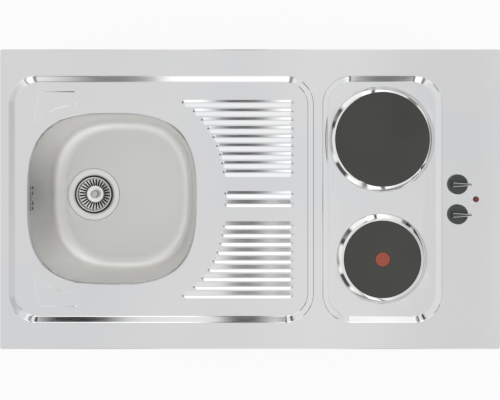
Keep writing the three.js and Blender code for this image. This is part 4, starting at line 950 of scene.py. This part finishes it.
# down beside the bowl, round a bend and across to the waste body
def hoseRoute(step):
    x, top, bend, low = hose["x"], hose["top"], hose["bend"], hose["low"]
    down = [Vector((x, 0, top + (bend - top) * i / hose["downSteps"]))
            for i in range(hose["downSteps"])]
    turn = [Vector(p) for p in ((x, 0, bend), (x, 0, low + hose["bendDown"]),
                                (x + hose["bendAcross"], 0, low),
                                (hose["end"] - hose["endRun"], 0, low))]
    arc = [curve(*turn, i / hose["bendSteps"]) for i in range(hose["bendSteps"] + 1)]
    return evenly(down + arc + [Vector((hose["end"], 0, low))], step)


# ribs all along but for a plain cuff at each end
def makeHose():
    step = hose["pitch"] / hose["rings"]
    route = hoseRoute(step)
    cuff, last = hose["cuff"], (len(route) - 1) * step - hose["cuff"]
    radii = []
    for i in range(len(route)):
        wave = abs(math.sin(math.pi * (i * step - cuff) / hose["pitch"])) ** hose["roundness"]
        ribbed = hose["valley"] + (hose["radius"] - hose["valley"]) * wave
        radii.append(ribbed if cuff < i * step < last else hose["radius"])
    finishPiece("overflowHose", swept(route, radii, hose["sides"]), hosePlastic,
                "overflow_hose")


makeHose()
print("hose and leads made")


# ---- carried-over solids get their finishes; studs, nuts, screws and shafts are bright steel

finishes = (
    (softwood, ("front_batten", "rear_batten", "left_batten", "right_batten", "middle_batten")),
    (zincSteel, ("hob_tray", "switch_bracket", "heat_shield_rear", "heat_shield_front",
                 "clamp_bridge_rear", "clamp_bridge_front")),
    (fibreSeal, ("ring_seal_rear", "ring_seal_front")),
    (ceramicLook, ("plate_terminal_rear", "plate_terminal_front")),
    (switchPlastic, ("switch_body_rear", "switch_body_front", "mains_terminal")),
    (blackPlastic, ("lamp_body", "cable_gland", "gland_nut")),
    (rubber, ("waste_gasket", "strainer_seal", "overflow_gasket")),
    (wastePlastic, ("waste_body", "overflow_box")),
)
lookOf = {name: look for look, names in finishes for name in names}
for name, node in nodes.items():
    look = lookOf.get(name, brightSteel)
    for place in node.material_slots:
        place.material = look
    if not node.material_slots:
        node.data.materials.append(look)
print("finishes given")


# ---- stage: floor, studio light, camera

# a matt floor, nearly white to the camera and clear from below
def makeFloor():
    size, drop, grey, whiteness = 20, 0.0004, 0.86, 0.92
    bm = bmesh.new()
    bmesh.ops.create_grid(bm, x_segments=1, y_segments=1, size=size)
    bmesh.ops.translate(bm, verts=bm.verts, vec=(0, 0, cadLow.z - drop))
    floor = objectOf("studioFloor", bm)
    floor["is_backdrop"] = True
    look = bpy.data.materials.new("studioFloor")
    look.use_nodes = True
    tree = look.node_tree
    tree.nodes.clear()
    out = tree.nodes.new("ShaderNodeOutputMaterial")
    matt = tree.nodes.new("ShaderNodeBsdfDiffuse")
    matt.inputs["Color"].default_value = (grey, grey, grey, 1)
    glow = tree.nodes.new("ShaderNodeEmission")
    clear = tree.nodes.new("ShaderNodeBsdfTransparent")
    path = tree.nodes.new("ShaderNodeLightPath")
    side = tree.nodes.new("ShaderNodeNewGeometry")
    share = maths(tree, "MULTIPLY", path.outputs["Is Camera Ray"], whiteness)
    white = mixedShader(tree, share, matt, glow)
    both = mixedShader(tree, side.outputs["Backfacing"], white, clear)
    tree.links.new(both.outputs[0], out.inputs["Surface"])
    floor.data.materials.append(look)


def mixedShader(tree, share, first, second):
    node = tree.nodes.new("ShaderNodeMixShader")
    for socket, output in zip(node.inputs, (share, first.outputs[0], second.outputs[0])):
        tree.links.new(output, socket)
    return node


# the studio: a pale tent with soft boxes to the front and back and dark gaps between them.
# Each entry is a ramp of (where, brightness). front, back and backLow run by x / |y|, around by
# bearing, across by x near the zenith and height by z; the others say where each of them counts
studio = {
    "height": [(0.0, 0.35), (0.1, 0.35), (0.2, 1.05), (0.45, 1.05), (0.7, 0.85), (0.86, 0.86),
               (1.0, 0.86)],
    "front": [(0.0, 0.92), (0.06, 1.05), (0.17, 1.05), (0.2, 0.85), (0.225, 0.66), (0.245, 0.44),
              (0.262, 0.28), (0.29, 0.26), (0.325, 0.34), (0.35, 0.6), (0.372, 1.3), (0.38, 1.5),
              (0.642, 1.5), (0.646, 0.3), (0.655, 0.48), (0.67, 0.25), (0.69, 0.2),
              (0.738, 0.25), (0.745, 1.35), (1.0, 0.93)],
    "frontBand": [(0.1, 0.0), (0.2, 1.0), (0.6, 1.0), (0.66, 0.48), (0.75, 0.42), (0.93, 0.0)],
    "back": [(0.0, 0.92), (0.15, 0.7), (0.165, 0.02), (0.25, 0.02), (0.3, 0.95), (0.445, 1.1),
             (0.465, 0.08), (0.512, 0.05), (0.54, 1.0), (0.55, 1.0), (0.556, 0.2), (0.578, 0.2),
             (0.6, 1.1), (0.65, 1.15), (0.7, 1.25), (0.775, 1.15), (0.785, 0.15), (0.8, 0.9),
             (1.0, 0.92)],
    "backBand": [(0.1, 0.0), (0.2, 1.0), (0.66, 1.0), (0.8, 0.72), (0.93, 0.0)],
    "backLow": [(0.0, 0.92), (0.2, 1.0), (0.3, 1.5), (0.43, 1.5), (0.462, 0.2), (0.485, 0.1),
                (0.515, 0.2), (0.548, 1.5), (0.7, 1.3), (1.0, 0.92)],
    "lowBand": [(0.49, 1.0), (0.54, 0.0)],
    "around": [(0.0, 1.1), (0.08, 1.1), (0.09, 0.1), (0.14, 0.12), (0.155, 1.5), (0.2, 1.0),
               (0.6, 1.0), (0.61, 0.3), (0.635, 0.3), (0.645, 1.0), (0.87, 1.2), (0.885, 0.1),
               (0.925, 0.35), (0.935, 0.1), (0.95, 0.1), (0.965, 1.1), (1.0, 1.1)],
    "aroundBand": [(0.0, 0.0), (0.03, 1.0), (0.4, 1.0), (0.44, 0.0)],
    "rightWall": [(0.35, 0.0), (0.55, 1.0)],
    "rightWallBand": [(0.5, 0.0), (0.6, 1.0), (0.84, 1.0), (0.93, 0.0)],
    "ends": [(0.9, 0.0), (0.94, 1.0)],
    "endsBand": [(0.0, 1.0), (0.26, 1.0), (0.3, 0.0)],
    "across": [(0.0, 1.0), (0.2, 0.98), (0.35, 1.02), (0.5, 1.0), (0.62, 1.05), (0.72, 1.04),
               (0.8, 0.97), (0.93, 0.95), (0.97, 1.04), (1.0, 1.04)],
    "acrossBand": [(0.85, 0.0), (0.93, 1.0)],
    "acrossReach": 0.33, "endsTone": 0.3, "rightWallTones": (0.86, 0.72),
    "rightWallY": (-0.15, 0.06), "leastY": 0.02,
}


def studioLight(tree, x, y, z):
    by = lambda value, key: ramp(tree, value, studio[key])
    depth = maths(tree, "MAXIMUM", maths(tree, "ABSOLUTE", y), studio["leastY"])
    aside = maths(tree, "ADD", maths(tree, "DIVIDE", x, depth), 0.5, clamp=True)
    isBack = maths(tree, "GREATER_THAN", y, 0.0)
    back = blended(tree, by(z, "lowBand"), by(aside, "back"), by(aside, "backLow"))
    boxes = blended(tree, isBack, by(aside, "front"), back)
    band = blended(tree, isBack, by(z, "frontBand"), by(z, "backBand"))
    sky = blended(tree, band, by(z, "height"), boxes)
    rightTone = spread(tree, y, *studio["rightWallTones"], *studio["rightWallY"])
    reach = studio["acrossReach"]
    isRight = maths(tree, "MULTIPLY", by(x, "rightWall"), by(z, "rightWallBand"))
    isEnd = maths(tree, "MULTIPLY", by(maths(tree, "ABSOLUTE", x), "ends"), by(z, "endsBand"))
    for share, tone in ((by(z, "aroundBand"), by(bearingOf(tree, x, y), "around")),
                        (isRight, rightTone), (isEnd, studio["endsTone"]),
                        (by(z, "acrossBand"), by(spread(tree, x, 0, 1, -reach, reach), "across"))):
        sky = multiplied(tree, sky, blended(tree, share, 1.0, tone))
    return sky


# the camera sees a plain white world, the part the studio
def makeStudio():
    world = bpy.data.worlds.new("studio")
    bpy.context.scene.world = world
    world.use_nodes = True
    tree = world.node_tree
    tree.nodes.clear()
    out = tree.nodes.new("ShaderNodeOutputWorld")
    where = tree.nodes.new("ShaderNodeTexCoord")
    parts = tree.nodes.new("ShaderNodeSeparateXYZ")
    tree.links.new(where.outputs["Generated"], parts.inputs[0])
    tent = tree.nodes.new("ShaderNodeBackground")
    tree.links.new(studioLight(tree, *parts.outputs), tent.inputs["Color"])
    plain = tree.nodes.new("ShaderNodeBackground")
    plain.inputs["Color"].default_value = (1, 1, 1, 1)
    path = tree.nodes.new("ShaderNodeLightPath")
    pick = mixedShader(tree, path.outputs["Is Camera Ray"], tent, plain)
    tree.links.new(pick.outputs[0], out.inputs["Surface"])


# the photograph looks straight down from a point above the back half
view = {"above": 1.588, "x": 0.0, "y": 0.103, "middleY": -0.0014, "width": 1.0, "sensor": 36,
        "lens": 57.16}


def makeCamera():
    data = bpy.data.cameras.new("photoCamera")
    data.sensor_width = view["sensor"]
    data.lens = view["lens"]
    data.shift_y = (view["middleY"] - view["y"]) / view["width"]
    camera = bpy.data.objects.new("photoCamera", data)
    camera.location = (view["x"], view["y"], sheet["deck"] * mm + view["above"])
    bpy.context.scene.collection.objects.link(camera)
    bpy.context.scene.camera = camera


makeFloor()
makeStudio()
makeCamera()
bpy.context.scene.view_settings.view_transform = "Standard"
low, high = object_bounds()
print("stage set")
